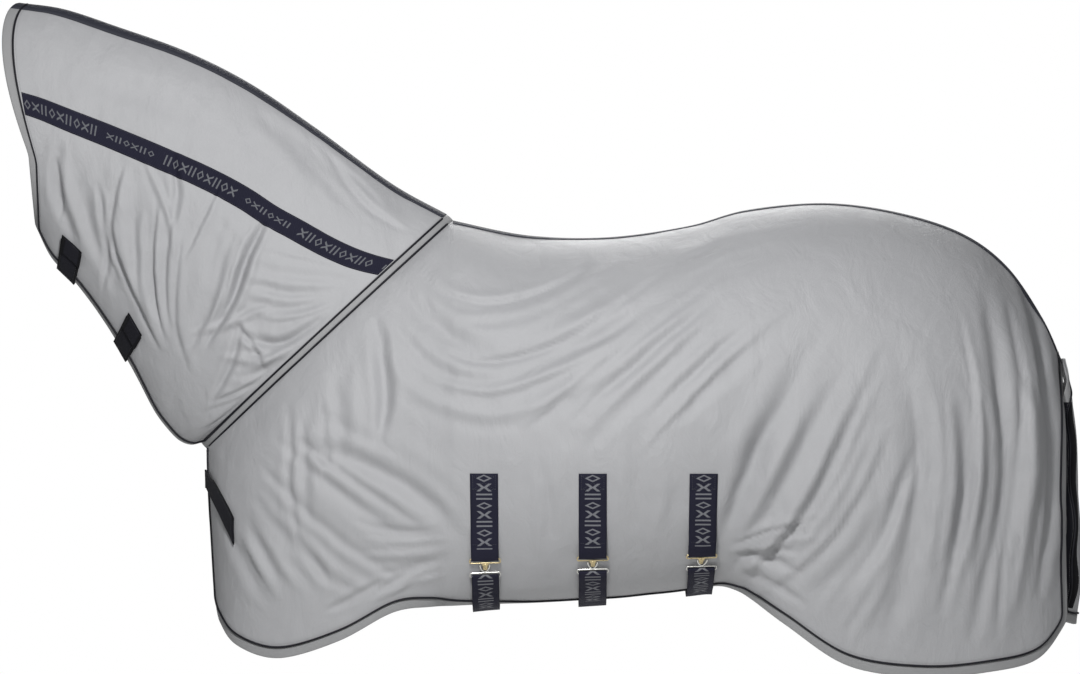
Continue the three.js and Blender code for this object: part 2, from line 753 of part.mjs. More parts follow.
// The hook's finger lies in the fork of the eye, in one plane, so that either lifts out alone.
// Both are made about the hook's bar, in the plane through the two bars.
function finger(length) {
  const root = SLOT_END + BAR_PLATE;
  const w = FINGER_HALF_WIDTH;
  const tip = length - root - FORK_CLEARANCE;
  const shape = new THREE.Shape();
  shape.moveTo(-w, -root + 1);
  shape.lineTo(-w, -tip + w);
  shape.absarc(0, -tip + w, w, Math.PI, 2 * Math.PI, false);
  shape.lineTo(w, -root + 1);
  const geometry = new THREE.ExtrudeGeometry(shape, { depth: PLATE, bevelEnabled: false, curveSegments: 8 });
  return solid(geometry.translate(0, 0, -PLATE / 2));
}

function fork(length) {
  const root = SLOT_END + BAR_PLATE;
  const inner = FINGER_HALF_WIDTH + FORK_CLEARANCE;
  const outer = inner + PRONG_WIDTH;
  const prongs = block(-outer, outer, root - length - 1, FORK_END_GAP - root, -PLATE / 2, PLATE / 2);
  return prongs.subtract(block(-inner, inner, root - length, 0, -PLATE, PLATE));
}

// A frame in the webbing at a distance down a column: x along the row, y up the cloth, z out of it,
// with the webbing's own width there.
function frameAt(column, distance, height, reach) {
  const i = column + 0.5;
  const row = body.rowAt(i, distance);
  const here = body.at(i, row, height);
  const beyond = body.at(i, body.rowAt(i, distance + reach), height);
  const up = here.clone().sub(beyond).multiplyScalar(Math.sign(reach));
  const across = body.at(column + 1, row, height).sub(body.at(column, row, height));
  const width = across.length();
  across.normalize();
  up.addScaledVector(across, -up.dot(across)).normalize();
  const matrix = new THREE.Matrix4().makeBasis(across, up, across.clone().cross(up)).setPosition(here);
  return { matrix, width };
}

// The same, but square to the way the webbing runs.
function squareFrameAt(column, distance, height, reach) {
  const i = column + 0.5;
  const row = body.rowAt(i, distance);
  const above = body.at(i, body.rowAt(i, distance - reach), height);
  const below = body.at(i, body.rowAt(i, distance + reach), height);
  const up = above.clone().sub(below).normalize();
  const across = body.at(column + 1, row, height).sub(body.at(column, row, height));
  across.addScaledVector(up, -across.dot(up));
  const width = across.length();
  across.normalize();
  const matrix = new THREE.Matrix4().makeBasis(across, up, across.clone().cross(up));
  return { matrix: matrix.setPosition(above.lerp(below, 0.5)), width };
}

function axisOf(matrix, column) {
  return new THREE.Vector3().setFromMatrixColumn(matrix, column);
}

function placeClasp(name, column, hookBar, eyeBar) {
  const hook = frameAt(column, hookBar, BAR_HEIGHT, CLASP_LENGTH);
  const eye = frameAt(column, eyeBar, BAR_HEIGHT, -CLASP_LENGTH);
  const top = axisOf(hook.matrix, 3);
  const foot = axisOf(eye.matrix, 3);
  const up = top.clone().sub(foot).normalize();
  const across = axisOf(hook.matrix, 0).add(axisOf(eye.matrix, 0));
  across.addScaledVector(up, -across.dot(up)).normalize();
  const between = new THREE.Matrix4().makeBasis(across, up, across.clone().cross(up)).setPosition(top);
  const length = top.distanceTo(foot);
  const placed = (manifold, matrix) => manifold.transform(matrix.elements);
  const hookBody = placed(barFrame(-1, hook.width), hook.matrix).add(placed(finger(length), between));
  const eyeBody = placed(barFrame(1, eye.width), eye.matrix).add(placed(fork(length), between));
  add(name('hook'), geometryOf(hookBody), nickel);
  add(name('eye'), geometryOf(eyeBody), nickel);
}

function placeSlider(name, column, distance) {
  const { matrix, width } = squareFrameAt(column, distance, HIGH, SLIDER_LENGTH / 2);
  const halfX = width / 2 + SLOT_CLEARANCE + GAP;
  const halfZ = WEB / 2 + SLIDER_CLEARANCE;
  const wall = SLIDER_WALL;
  const halfY = SLIDER_LENGTH / 2;
  const ring = block(-halfX - wall, halfX + wall, -halfY, halfY, -halfZ - wall, halfZ + wall).subtract(
    block(-halfX, halfX, -halfY - 1, halfY + 1, -halfZ, halfZ),
  );
  add(name, mirrored(geometryOf(ring).applyMatrix4(matrix)), nickel);
}

// ---- Hook-and-loop straps under the throat ----
function makeThroatStrap(name, column) {
  const i = column + 0.5;
  const edge = neck.columnLength(i);
  const path = withRows(neck, i, [[edge - THROAT_STRAP_LENGTH, HIGH], [edge, HIGH]]);
  const net = (side) =>
    webNet(neck, column, path, side).map((line) => {
      const last = line[line.length - 1];
      return [...line, V(last.x, -GAP / 2, last.z)];
    });
  const flap = layer(net(WEB / 2), net(-WEB / 2));
  add(`${name}_flap`, flap, blackTape);
  add(`${name}_root`, mirrored(flap), blackTape);
  const inner = edge - BINDING_WIDTH - PIPING_WIDTH - 2;
  const patch = [[edge - THROAT_STRAP_LENGTH - 6, OVER + PATCH / 2], [inner, OVER + PATCH / 2]];
  addPair(`${name}_patch`, web(neck, column, patch, PATCH), blackTape);
}

// ---- The strap that closes the chest, laid slanting across the near shoulder ----
const CHEST_START = 66; // below the neck seam, at the front edge
const CHEST_END = 282;
const CHEST_LAST_COLUMN = 4.3;
const CHEST_ROOT_COLUMN = 3.3;
const CHEST_SLACK = 0.4; // the strap bridges the slight bends of the cloth under it
const CHEST_SLANT = 1.15; // the strap lies slanting, so it is cut wider down a rib

function chestNet(from, last, lift, toCentre) {
  return (height) => {
    const steps = [0, 0.33, 0.67, 1];
    const columns = rowsBetween(from, last);
    const span = (i) => body.at(i, 8, 0).distanceTo(body.at(0, 8, 0));
    const start = columns.map((i) => {
      const share = span(i) / span(CHEST_LAST_COLUMN);
      const middle = lerp(CHEST_START, CHEST_END, share);
      return steps.map((k) => {
        const d = middle + CHEST_TAPE_WIDTH * CHEST_SLANT * (k - 0.5);
        return body.at(i, body.rowAt(i, d), height + lift);
      });
    });
    return toCentre ? [start[0].map((p) => V(p.x, -GAP / 2, p.z)), ...start] : start;
  };
}

function makeChestStrap() {
  const flap = chestNet(0, CHEST_LAST_COLUMN, CLEAR + CHEST_SLACK, true);
  add('chest_strap_flap', layer(flap(WEB), flap(0)), blackTape);
  const root = chestNet(0, CHEST_ROOT_COLUMN, CLEAR + CHEST_SLACK, true);
  add('chest_strap_root', mirrored(layer(root(WEB), root(0))), blackTape);
  const patch = chestNet(2.2, CHEST_LAST_COLUMN + 0.1, OVER + BAND_LIFT, false);
  const thick = PATCH - BAND_LIFT;
  addPair('chest_patch', layer(patch(thick), patch(0)), blackTape);
}

// ---- Tail flap ----
const DOCK_CLEARANCE = 0.6; // from the end of the spine tape to the flap
const flapX = [1344, 1354, 1357, 1360, 1364, 1364, 1352];
const flapHalf = [0.36, 0.66, 0.84, 0.94, 1, 1, 0.97, 0.86];

function makeTailFlap() {
  const rows = 9;
  const dock = body.at(body.columns, 0, OVER + TRIM); // where the spine tape ends
  const profile = [dock.x + DOCK_CLEARANCE, ...flapX.map(graded.x)];
  const inset = [BINDING_WIDTH, BINDING_WIDTH + PIPING_WIDTH];
  const shares = [-1, ...inset.map((mm) => -1 + mm / FLAP_HALF_WIDTH), -0.55, -0.25];
  const across = [...shares, ...shares.map((w) => -w).reverse()];
  const down = [];
  for (let k = 0; k <= rows - 2; k++) {
    down.push((k / (rows - 1)) * (1 - inset[1] / FLAP_LENGTH) * ((rows - 1) / (rows - 2)));
  }
  down.push(1 - inset[0] / FLAP_LENGTH, 1);
  const points = across.map((w) =>
    down.map((share) => {
      const k = share * (profile.length - 1);
      const width = FLAP_HALF_WIDTH * through(flapHalf, k);
      const x = through(profile, k) - FLAP_DISH * w * w * Math.min(1, share * 4);
      const curl = 12 * w ** 4 * share ** 6;
      return V(x, w * width, dock.z - FLAP_LENGTH * share + curl);
    }),
  );
  const flap = new Panel(points);
  add('tail_flap', flap.solid(0, FABRIC), cloth);
  const strip = (a, b, high) => edgeStrip(flap, a, b, OVER, OVER + high, 0, 0);
  add('tail_flap_binding', strip(0, BINDING_INSET, TRIM), greyBinding);
  add('tail_flap_piping', strip(...PIPING_INSET, PIPING_HEIGHT), piping);
}

makePanels();
makeEdgeTrims();
makeCentreTapes();
makeCollar();
makeNeckBand();
const surcingleColumns = stations.straps
  .filter((_, k) => k % 2 === 0)
  .map((s) => WITHERS_COLUMN + 1 + stations.back.indexOf(s));
surcingleColumns.forEach((column, k) => makeSurcingle(k + 1, column));
const throatColumns = neckLines.ends.filter((_, k) => k % 2 === 0).map((t) => 3 + neckLines.all.indexOf(t));
makeThroatStrap('throat_strap_upper', throatColumns[0]);
makeThroatStrap('throat_strap_lower', throatColumns[1]);
makeChestStrap();
makeTailFlap();

export default sheet;
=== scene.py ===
# A horse's fly sheet with a sewn-in neck: grey cloth panels, bindings and piping, woven tapes,
# three belly straps with clasps, hook-and-loop straps at throat and chest, and a tail flap.
import math

import bmesh
import bpy
import numpy as np
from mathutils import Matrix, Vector


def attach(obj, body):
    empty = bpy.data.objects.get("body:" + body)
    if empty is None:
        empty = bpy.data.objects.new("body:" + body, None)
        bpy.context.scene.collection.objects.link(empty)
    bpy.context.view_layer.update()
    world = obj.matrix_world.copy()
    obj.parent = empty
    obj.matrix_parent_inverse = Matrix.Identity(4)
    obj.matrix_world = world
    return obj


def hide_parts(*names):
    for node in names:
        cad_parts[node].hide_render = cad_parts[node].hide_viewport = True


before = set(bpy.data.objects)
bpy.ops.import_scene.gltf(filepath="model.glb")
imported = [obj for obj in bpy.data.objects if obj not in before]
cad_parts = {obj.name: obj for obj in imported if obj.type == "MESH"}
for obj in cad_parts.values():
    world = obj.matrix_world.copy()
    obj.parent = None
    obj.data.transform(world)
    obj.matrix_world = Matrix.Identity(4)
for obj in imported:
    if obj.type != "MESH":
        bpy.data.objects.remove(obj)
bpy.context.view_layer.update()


# ---- Camera, light and floor ----
# A level view of the near side through a long lens, soft daylight from above and in front,
# and a pale floor at the height of the hooves.
VIEW_WIDTH = 2.3436
VIEW_CENTRE = (0.191, -0.2517)
VIEW_DISTANCE = 22.0
LENS_SENSOR = 36.0

camera_data = bpy.data.cameras.new("side_view")
camera_data.sensor_width = LENS_SENSOR
camera_data.lens = LENS_SENSOR * VIEW_DISTANCE / VIEW_WIDTH
camera_data.clip_end = 200.0
camera = bpy.data.objects.new("side_view", camera_data)
camera.location = (VIEW_CENTRE[0], -VIEW_DISTANCE, VIEW_CENTRE[1])
camera.rotation_euler = (math.radians(90), 0, 0)
bpy.context.scene.collection.objects.link(camera)
bpy.context.scene.camera = camera
bpy.context.scene.view_settings.view_transform = "Standard"

SKY_LIGHT = 0.23
world = bpy.data.worlds.new("studio")
world.use_nodes = True
sky = world.node_tree.nodes
sky_links = world.node_tree.links
sky.clear()
paths = sky.new("ShaderNodeLightPath")
soft_white = sky.new("ShaderNodeBackground")
soft_white.inputs["Strength"].default_value = SKY_LIGHT
backdrop = sky.new("ShaderNodeBackground")
backdrop.inputs["Strength"].default_value = 1.0
either = sky.new("ShaderNodeMixShader")
sky_out = sky.new("ShaderNodeOutputWorld")
soft_white.inputs["Color"].default_value = (0.97, 0.985, 1.0, 1)
backdrop.inputs["Color"].default_value = (1, 1, 1, 1)
sky_links.new(paths.outputs["Is Camera Ray"], either.inputs["Fac"])
sky_links.new(soft_white.outputs[0], either.inputs[1])
sky_links.new(backdrop.outputs[0], either.inputs[2])
sky_links.new(either.outputs[0], sky_out.inputs["Surface"])
bpy.context.scene.world = world


def softbox(name, place, target, width, height, watts):
    """A soft rectangular lamp aimed at a target."""
    light = bpy.data.lights.new(name, "AREA")
    light.shape = "RECTANGLE"
    light.size = width
    light.size_y = height
    light.energy = watts
    box = bpy.data.objects.new(name, light)
    box.location = place
    aim = Vector(target) - Vector(place)
    box.rotation_euler = aim.to_track_quat("-Z", "Y").to_euler()
    bpy.context.scene.collection.objects.link(box)


softbox("key", (-0.1, -2.6, 1.02), (0.22, -0.2, -0.40), 0.42, 0.42, 64)
softbox("front", (1.2, -5.0, 0.2), (0.35, 0, -0.3), 1.6, 1.6, 22)
softbox("back", (0.5, 3.5, 2.2), (0.2, 0, -0.3), 2.0, 2.0, 90)

FLOOR_HEIGHT = -1.6
FLOOR_HALF = 3.4
floor_mesh = bpy.data.meshes.new("floor")
floor_mesh.from_pydata(
    [(-FLOOR_HALF, -FLOOR_HALF, FLOOR_HEIGHT), (FLOOR_HALF, -FLOOR_HALF, FLOOR_HEIGHT),
     (FLOOR_HALF, FLOOR_HALF, FLOOR_HEIGHT), (-FLOOR_HALF, FLOOR_HALF, FLOOR_HEIGHT)],
    [], [(0, 1, 2, 3)])
floor = bpy.data.objects.new("floor", floor_mesh)
floor_paint = bpy.data.materials.new("pale floor")
floor_paint.use_nodes = True
floor_paint.node_tree.nodes["Principled BSDF"].inputs["Base Color"].default_value = (0.82, 0.82, 0.81, 1)
floor_paint.node_tree.nodes["Principled BSDF"].inputs["Roughness"].default_value = 0.8
floor_mesh.materials.append(floor_paint)
bpy.context.scene.collection.objects.link(floor)


# ---- Cloth panels ----
# Light grey polyester, fine woven and a little glossy, cut in a near and an off half with a
# joined neck. Each hangs as worn: smooth over the back, pulled into folds towards the straps.
SPLIT = 0.006
CLOTH_THICK = 0.0009
STATIONS = 17
SEAM_STATIONS = 7
RIB_STEPS = 24
CHEST = np.array([-0.532, 0, -0.493])
NECK_BASE_HALF = 0.15
NECK_POLL_HALF = 0.085
POLL_BULGE, BULGE_SHARE = 0.040, 0.62
NECK_STEPS = 40
COLLAR_WIDTH = 0.018
SEAM_UP = np.array([-0.493, 0, 0.532]) / math.hypot(0.493, 0.532)
mm = 0.001
SPINE_X = np.array([0, 165, 339, 512, 640, 809, 966, 1105, 1203, 1280, 1320]) * mm
SPINE_Z = np.array([0, -33, -37, -13, 22, 37, 17, -28, -100, -212, -300]) * mm
HALF = np.array([8, 118, 182, 226, 250, 262, 270, 278, 304, 320, 322, 314, 300, 292, 280, 254, 208, 150]) * mm
WIDEST = np.array([-640, -660, -650, -620, -580, -540, -500, -480, -455, -445, -435, -430, -430, -440,
                   -460, -500, -560, -600]) * mm
HEM_X = np.array([-512, -500, -462, -370, -240, -125, -45, 10, 165, 339, 500, 604, 716, 850, 1010,
                  1150, 1262, 1326]) * mm
HEM_Z = np.array([-830, -868, -915, -941, -903, -842, -831, -829, -824, -815, -799, -792, -867, -955,
                  -980, -970, -942, -862]) * mm
HEM_Y = np.array([8, 105, 165, 206, 232, 232, 205, 158, 118, 100, 100, 138, 235, 262, 262, 248, 208,
                  158]) * mm
LEAN = np.array([60, 50, 42, 38, 34, 28, 22, 16, 10, 6, 5, 5, 4, 6, 10, 16, 24, 30])
TUCK = np.array([20, 25, 28, 30, 32, 45, 64, 80, 86, 88, 87, 76, 45, 30, 24, 24, 24, 24])


def through(values, s):
    """A smooth curve through evenly spaced values, at place s."""
    last = len(values) - 1
    k = min(int(math.floor(s)), last - 1)
    a, b, c, d = (values[min(max(n, 0), last)] for n in (k - 1, k, k + 1, k + 2))
    f = s - k
    bend = 2 * a - 5 * b + 4 * c - d + f * (3 * b - a - 3 * c + d)
    return b + 0.5 * f * (c - a + f * bend)


def spaced(points, shares):
    """Points at even shares of a line's length."""
    points = np.asarray(points)
    run = np.concatenate([[0], np.cumsum(np.linalg.norm(np.diff(points, axis=0), axis=1))])
    places = np.asarray(shares) * run[-1]
    return np.stack([np.interp(places, run, points[:, k]) for k in range(3)], axis=-1), run[-1]


def neck_section(top, foot, half_width, turn):
    """A place on the neck's half oval, from its top at no turn to its foot at half a turn."""
    point = top + (foot - top) * (1 - math.cos(turn)) / 2
    return point + np.array([0, -SPLIT / 2 - half_width * max(0, math.sin(turn)) ** 1.2, 0])


def rib_top(s):
    """Where a body rib starts: on the neck seam first, then on the spine."""
    if s <= SEAM_STATIONS:
        return neck_section(np.zeros(3), CHEST, NECK_BASE_HALF, math.pi * (1 - s / SEAM_STATIONS))
    k = s - SEAM_STATIONS
    return np.array([through(SPINE_X, k), -SPLIT / 2, through(SPINE_Z, k)])


def rib(s, shares):
    """A line down the body panel from the seam or spine to the hem, and its length."""
    top = rib_top(s)
    wide = max(through(HALF, s), -top[1] + mm)
    wide_z = through(WIDEST, s)
    foot = np.array([through(HEM_X, s), -through(HEM_Y, s), through(HEM_Z, s)])
    start = math.radians(through(LEAN, s))
    turn = math.radians(through(TUCK, s))
    points = []
    for k in range(RIB_STEPS + 1):
        a = start + (math.pi / 2 - start) * k / RIB_STEPS
        out = (math.sin(a) - math.sin(start)) / (1 - math.sin(start))
        points.append((0, top[1] + (-wide - top[1]) * out,
                       wide_z + (top[2] - wide_z) * math.cos(a) / math.cos(start)))
    for k in range(1, RIB_STEPS + 1):
        b = turn * k / RIB_STEPS
        inward = (1 - math.cos(b)) / (1 - math.cos(turn))
        points.append((0, -wide + (foot[1] + wide) * inward,
                       wide_z + (foot[2] - wide_z) * math.sin(b) / math.sin(turn)))
    line, length = spaced(points, shares)
    line[:, 0] = top[0] + (foot[0] - top[0]) * np.asarray(shares)
    return line, length


def crom(points, count=400):
    """A centripetal curve through points, evenly spaced."""
    p = [np.array(q, float) for q in points]
    p = [2 * p[0] - p[1]] + p + [2 * p[-1] - p[-2]]
    out = []
    for k in range(1, len(p) - 2):
        p0, p1, p2, p3 = p[k - 1:k + 3]
        d1, d2, d3 = (max(np.linalg.norm(b - a) ** 0.5, 1e-6) for a, b in ((p0, p1), (p1, p2), (p2, p3)))
        m1 = ((p1 - p0) / d1 - (p2 - p0) / (d1 + d2) + (p2 - p1) / d2) * d2
        m2 = ((p2 - p1) / d2 - (p3 - p1) / (d2 + d3) + (p3 - p2) / d3) * d2
        for t in np.linspace(0, 1, 24, endpoint=k == len(p) - 3):
            out.append(p1 + m1 * t + (3 * (p2 - p1) - 2 * m1 - m2) * t ** 2
                       + (m1 + m2 + 2 * (p1 - p2)) * t ** 3)
    return spaced(out, np.linspace(0, 1, count))[0]


CREST = crom([(x * mm, 0, z * mm) for x, z in [
    (-939, 472), (-846, 458), (-723, 417), (-569, 360), (-434, 291), (-293, 195), (-113, 63), (0, 0)]])
THROAT = crom([CHEST + np.array([x * mm, 0, z * mm]) for x, z in [
    (-371, 484), (-334, 411), (-277, 352), (-206, 254), (-158, 174), (-102, 70), (-73, 31), (-47, 5),
    (-22, -4), (0, 0)]])
THROAT_RUN = float(np.linalg.norm(np.diff(THROAT, axis=0), axis=1).sum())


def along(line, t):
    """The point at share t of a line."""
    f = t * (len(line) - 1)
    k = min(int(f), len(line) - 2)
    return line[k] + (line[k + 1] - line[k]) * (f - k)


def neck_rib(t, shares):
    """A line round one half of the neck, from the crest to the throat, and its length."""
    top = along(CREST, t) + SEAM_UP * COLLAR_WIDTH * t
    foot = along(THROAT, t) + SEAM_UP * COLLAR_WIDTH * t
    half_width = NECK_POLL_HALF + (NECK_BASE_HALF - NECK_POLL_HALF) * t ** 1.6
    points = []
    for k in range(NECK_STEPS + 1):
        point = neck_section(top, foot, half_width, math.pi * k / NECK_STEPS)
        point[0] -= POLL_BULGE * math.sin(math.pi * min(1, k / NECK_STEPS / BULGE_SHARE)) * (1 - t) ** 3
        points.append(point)
    return spaced(points, shares)


def net_normals(net):
    """Which way is out at each place of a net."""
    along_net = np.gradient(net, axis=0)
    down_net = np.gradient(net, axis=1)
    n = np.cross(down_net, along_net)
    return n / np.maximum(np.linalg.norm(n, axis=2, keepdims=True), 1e-9)


class Cloth:
    """A hung panel: a fine net of places, read anywhere by column and row share from 0 to 1."""

    def __init__(self, net):
        self.net = net
        self.normals = net_normals(net)

    def at(self, u, v, height=0.0):
        """Places at shares u and v, lifted off the cloth by a height."""
        m, n = self.net.shape[:2]
        u, v = np.broadcast_arrays(np.asarray(u, float) * (m - 1), np.asarray(v, float) * (n - 1))
        i = np.clip(np.floor(u).astype(int), 0, m - 2)
        j = np.clip(np.floor(v).astype(int), 0, n - 2)
        fu, fv = (u - i)[..., None], (v - j)[..., None]

        def mix(a):
            return (a[i, j] * (1 - fu) * (1 - fv) + a[i + 1, j] * fu * (1 - fv)
                    + a[i, j + 1] * (1 - fu) * fv + a[i + 1, j + 1] * fu * fv)
        normal = mix(self.normals)
        normal = normal / np.linalg.norm(normal, axis=-1, keepdims=True)
        return mix(self.net) + normal * np.asarray(height)[..., None]


def value_noise(x, y, seed):
    """Smooth noise from -1 to 1 on a unit lattice."""
    rng = np.random.default_rng(seed)
    table = rng.uniform(-1, 1, (64, 64))
    i, j = np.floor(x).astype(int), np.floor(y).astype(int)
    f, g = x - i, y - j
    f, g = f * f * f * (f * (f * 6 - 15) + 10), g * g * g * (g * (g * 6 - 15) + 10)
    a, b = table[i % 64, j % 64], table[(i + 1) % 64, j % 64]
    c, d = table[i % 64, (j + 1) % 64], table[(i + 1) % 64, (j + 1) % 64]
    return (a * (1 - f) + b * f) * (1 - g) + (c * (1 - f) + d * f) * g


WOBBLE, JITTER = 0.007, 0.0012  # how far a fold strays from its line, slowly and finely


def fold_field(x, z, folds, seed):
    """Height of all folds at each place: each is a line of points with a depth and a width, in metres."""
    wobble_x = (x + WOBBLE * value_noise(x * 5 + 3, z * 5, seed)
                + JITTER * value_noise(x * 26, z * 26, seed + 1))
    wobble_z = (z + WOBBLE * value_noise(x * 5 + 40, z * 5 + 7, seed + 2)
                + JITTER * value_noise(x * 26, z * 26, seed + 3))
    total = np.zeros_like(x)
    for kind, depth, width, points in folds:
        line = crom([(px, 0, pz) for px, pz in points], 36)[:, [0, 2]]
        flat = np.stack([wobble_x.ravel(), wobble_z.ravel()], axis=1)
        step = np.diff(line, axis=0)
        best = np.full(len(flat), 1e9)
        side = np.zeros(len(flat))
        share = np.zeros(len(flat))
        for k in range(0, len(line) - 1):
            rel = flat - line[k]
            f = np.clip((rel @ step[k]) / (step[k] @ step[k]), 0, 1)
            off = rel - f[:, None] * step[k]
            dist = np.hypot(off[:, 0], off[:, 1])
            closer = dist < best
            best[closer] = dist[closer]
            side[closer] = np.sign(step[k][0] * rel[:, 1] - step[k][1] * rel[:, 0])[closer]
            share[closer] = ((k + f) / (len(line) - 1))[closer]
        taper = np.sin(np.pi * np.clip(share, 0.0, 1.0)) ** 0.7
        spread = width * (0.75 + 0.5 * taper)
        q = side * best / spread
        if kind == "valley":
            shape = -np.exp(-q * q) + 0.42 * np.exp(-(q - 1.7) ** 2) + 0.32 * np.exp(-(q + 1.7) ** 2)
        elif kind == "ridge":
            shape = np.exp(-q * q) - 0.35 * np.exp(-(q - 1.6) ** 2) - 0.35 * np.exp(-(q + 1.6) ** 2)
        else:  # a lap: one side stands up sharply and falls away softly
            shape = np.where(q > 0, np.exp(-(q / 1.5) ** 2), np.exp(-(q * 3.0) ** 2))
            shape -= 0.5 * np.exp(-((q + 0.75) / 0.45) ** 2)
        total += (depth * taper * shape).reshape(x.shape)
    return total


# Single folds: kind, depth, width, and the points in x and z that each follows.
BODY_FOLDS = [
    ("valley", 0.009, 0.020, [(-0.13, -0.13), (-0.05, -0.22), (0.08, -0.30), (0.19, -0.28), (0.37, -0.23),
                              (0.58, -0.10)]),
    ("lap", 0.007, 0.016, [(0.15, -0.45), (0.23, -0.38), (0.36, -0.27), (0.58, -0.11)]),
    ("valley", 0.008, 0.018, [(-0.36, -0.48), (-0.23, -0.51), (-0.09, -0.58), (0.04, -0.70)]),
    ("valley", 0.010, 0.014, [(-0.17, -0.20), (-0.15, -0.30), (-0.14, -0.39), (-0.16, -0.49)]),
    ("valley", 0.011, 0.018, [(0.56, -0.74), (0.61, -0.58), (0.70, -0.41), (0.77, -0.28), (0.82, -0.20)]),
    ("lap", 0.010, 0.020, [(0.61, -0.82), (0.68, -0.71), (0.77, -0.56), (0.86, -0.39), (0.93, -0.24)]),
    ("valley", 0.009, 0.026, [(0.97, -0.30), (1.00, -0.50), (0.98, -0.71), (0.93, -0.91)]),
    ("valley", 0.013, 0.016, [(1.15, -0.14), (1.18, -0.32), (1.19, -0.52), (1.16, -0.74), (1.12, -0.91)]),
    ("lap", 0.011, 0.015, [(1.21, -0.17), (1.24, -0.37), (1.23, -0.56), (1.20, -0.76), (1.19, -0.91)]),
    ("valley", 0.006, 0.009, [(0.61, -0.71), (0.68, -0.73), (0.76, -0.76)]),
    ("valley", 0.005, 0.008, [(0.63, -0.76), (0.70, -0.79), (0.77, -0.83)]),
    ("valley", 0.011, 0.011, [(1.26, -0.24), (1.29, -0.43), (1.29, -0.61), (1.27, -0.82)]),
    ("valley", 0.009, 0.010, [(1.22, -0.06), (1.26, -0.21), (1.28, -0.39)]),
    ("lap", 0.008, 0.009, [(1.10, -0.19), (1.13, -0.39), (1.12, -0.61), (1.06, -0.82)]),
]
NECK_FOLDS = [
    ("valley", 0.017, 0.009, [(-0.40, -0.00), (-0.44, -0.08), (-0.47, -0.17), (-0.53, -0.27)]),
    ("lap", 0.009, 0.012, [(-0.70, 0.12), (-0.72, -0.03), (-0.67, -0.17), (-0.62, -0.28)]),
    ("valley", 0.009, 0.010, [(-0.46, -0.24), (-0.37, -0.27), (-0.26, -0.21)]),
    ("lap", 0.009, 0.012, [(-0.52, -0.39), (-0.43, -0.35), (-0.33, -0.28)]),
    ("lap", 0.005, 0.014, [(-0.26, 0.15), (-0.17, 0.03), (-0.09, -0.02)]),
    ("ridge", 0.004, 0.006, [(-0.66, 0.13), (-0.61, 0.01), (-0.59, -0.09)]),
    ("valley", 0.005, 0.007, [(-0.60, 0.15), (-0.59, 0.05), (-0.60, -0.02)]),
    ("lap", 0.005, 0.007, [(-0.49, 0.08), (-0.53, -0.01), (-0.57, -0.09)]),
    ("valley", 0.006, 0.007, [(-0.45, -0.21), (-0.47, -0.30), (-0.52, -0.40)]),
    ("lap", 0.006, 0.008, [(-0.46, -0.21), (-0.41, -0.28), (-0.39, -0.33)]),
    ("valley", 0.005, 0.006, [(-0.76, 0.08), (-0.74, -0.06), (-0.76, -0.15)]),
    ("ridge", 0.005, 0.007, [(-0.56, -0.24), (-0.47, -0.22), (-0.37, -0.18)]),
    ("lap", 0.004, 0.008, [(-0.85, 0.15), (-0.83, 0.05), (-0.84, -0.01)]),
]
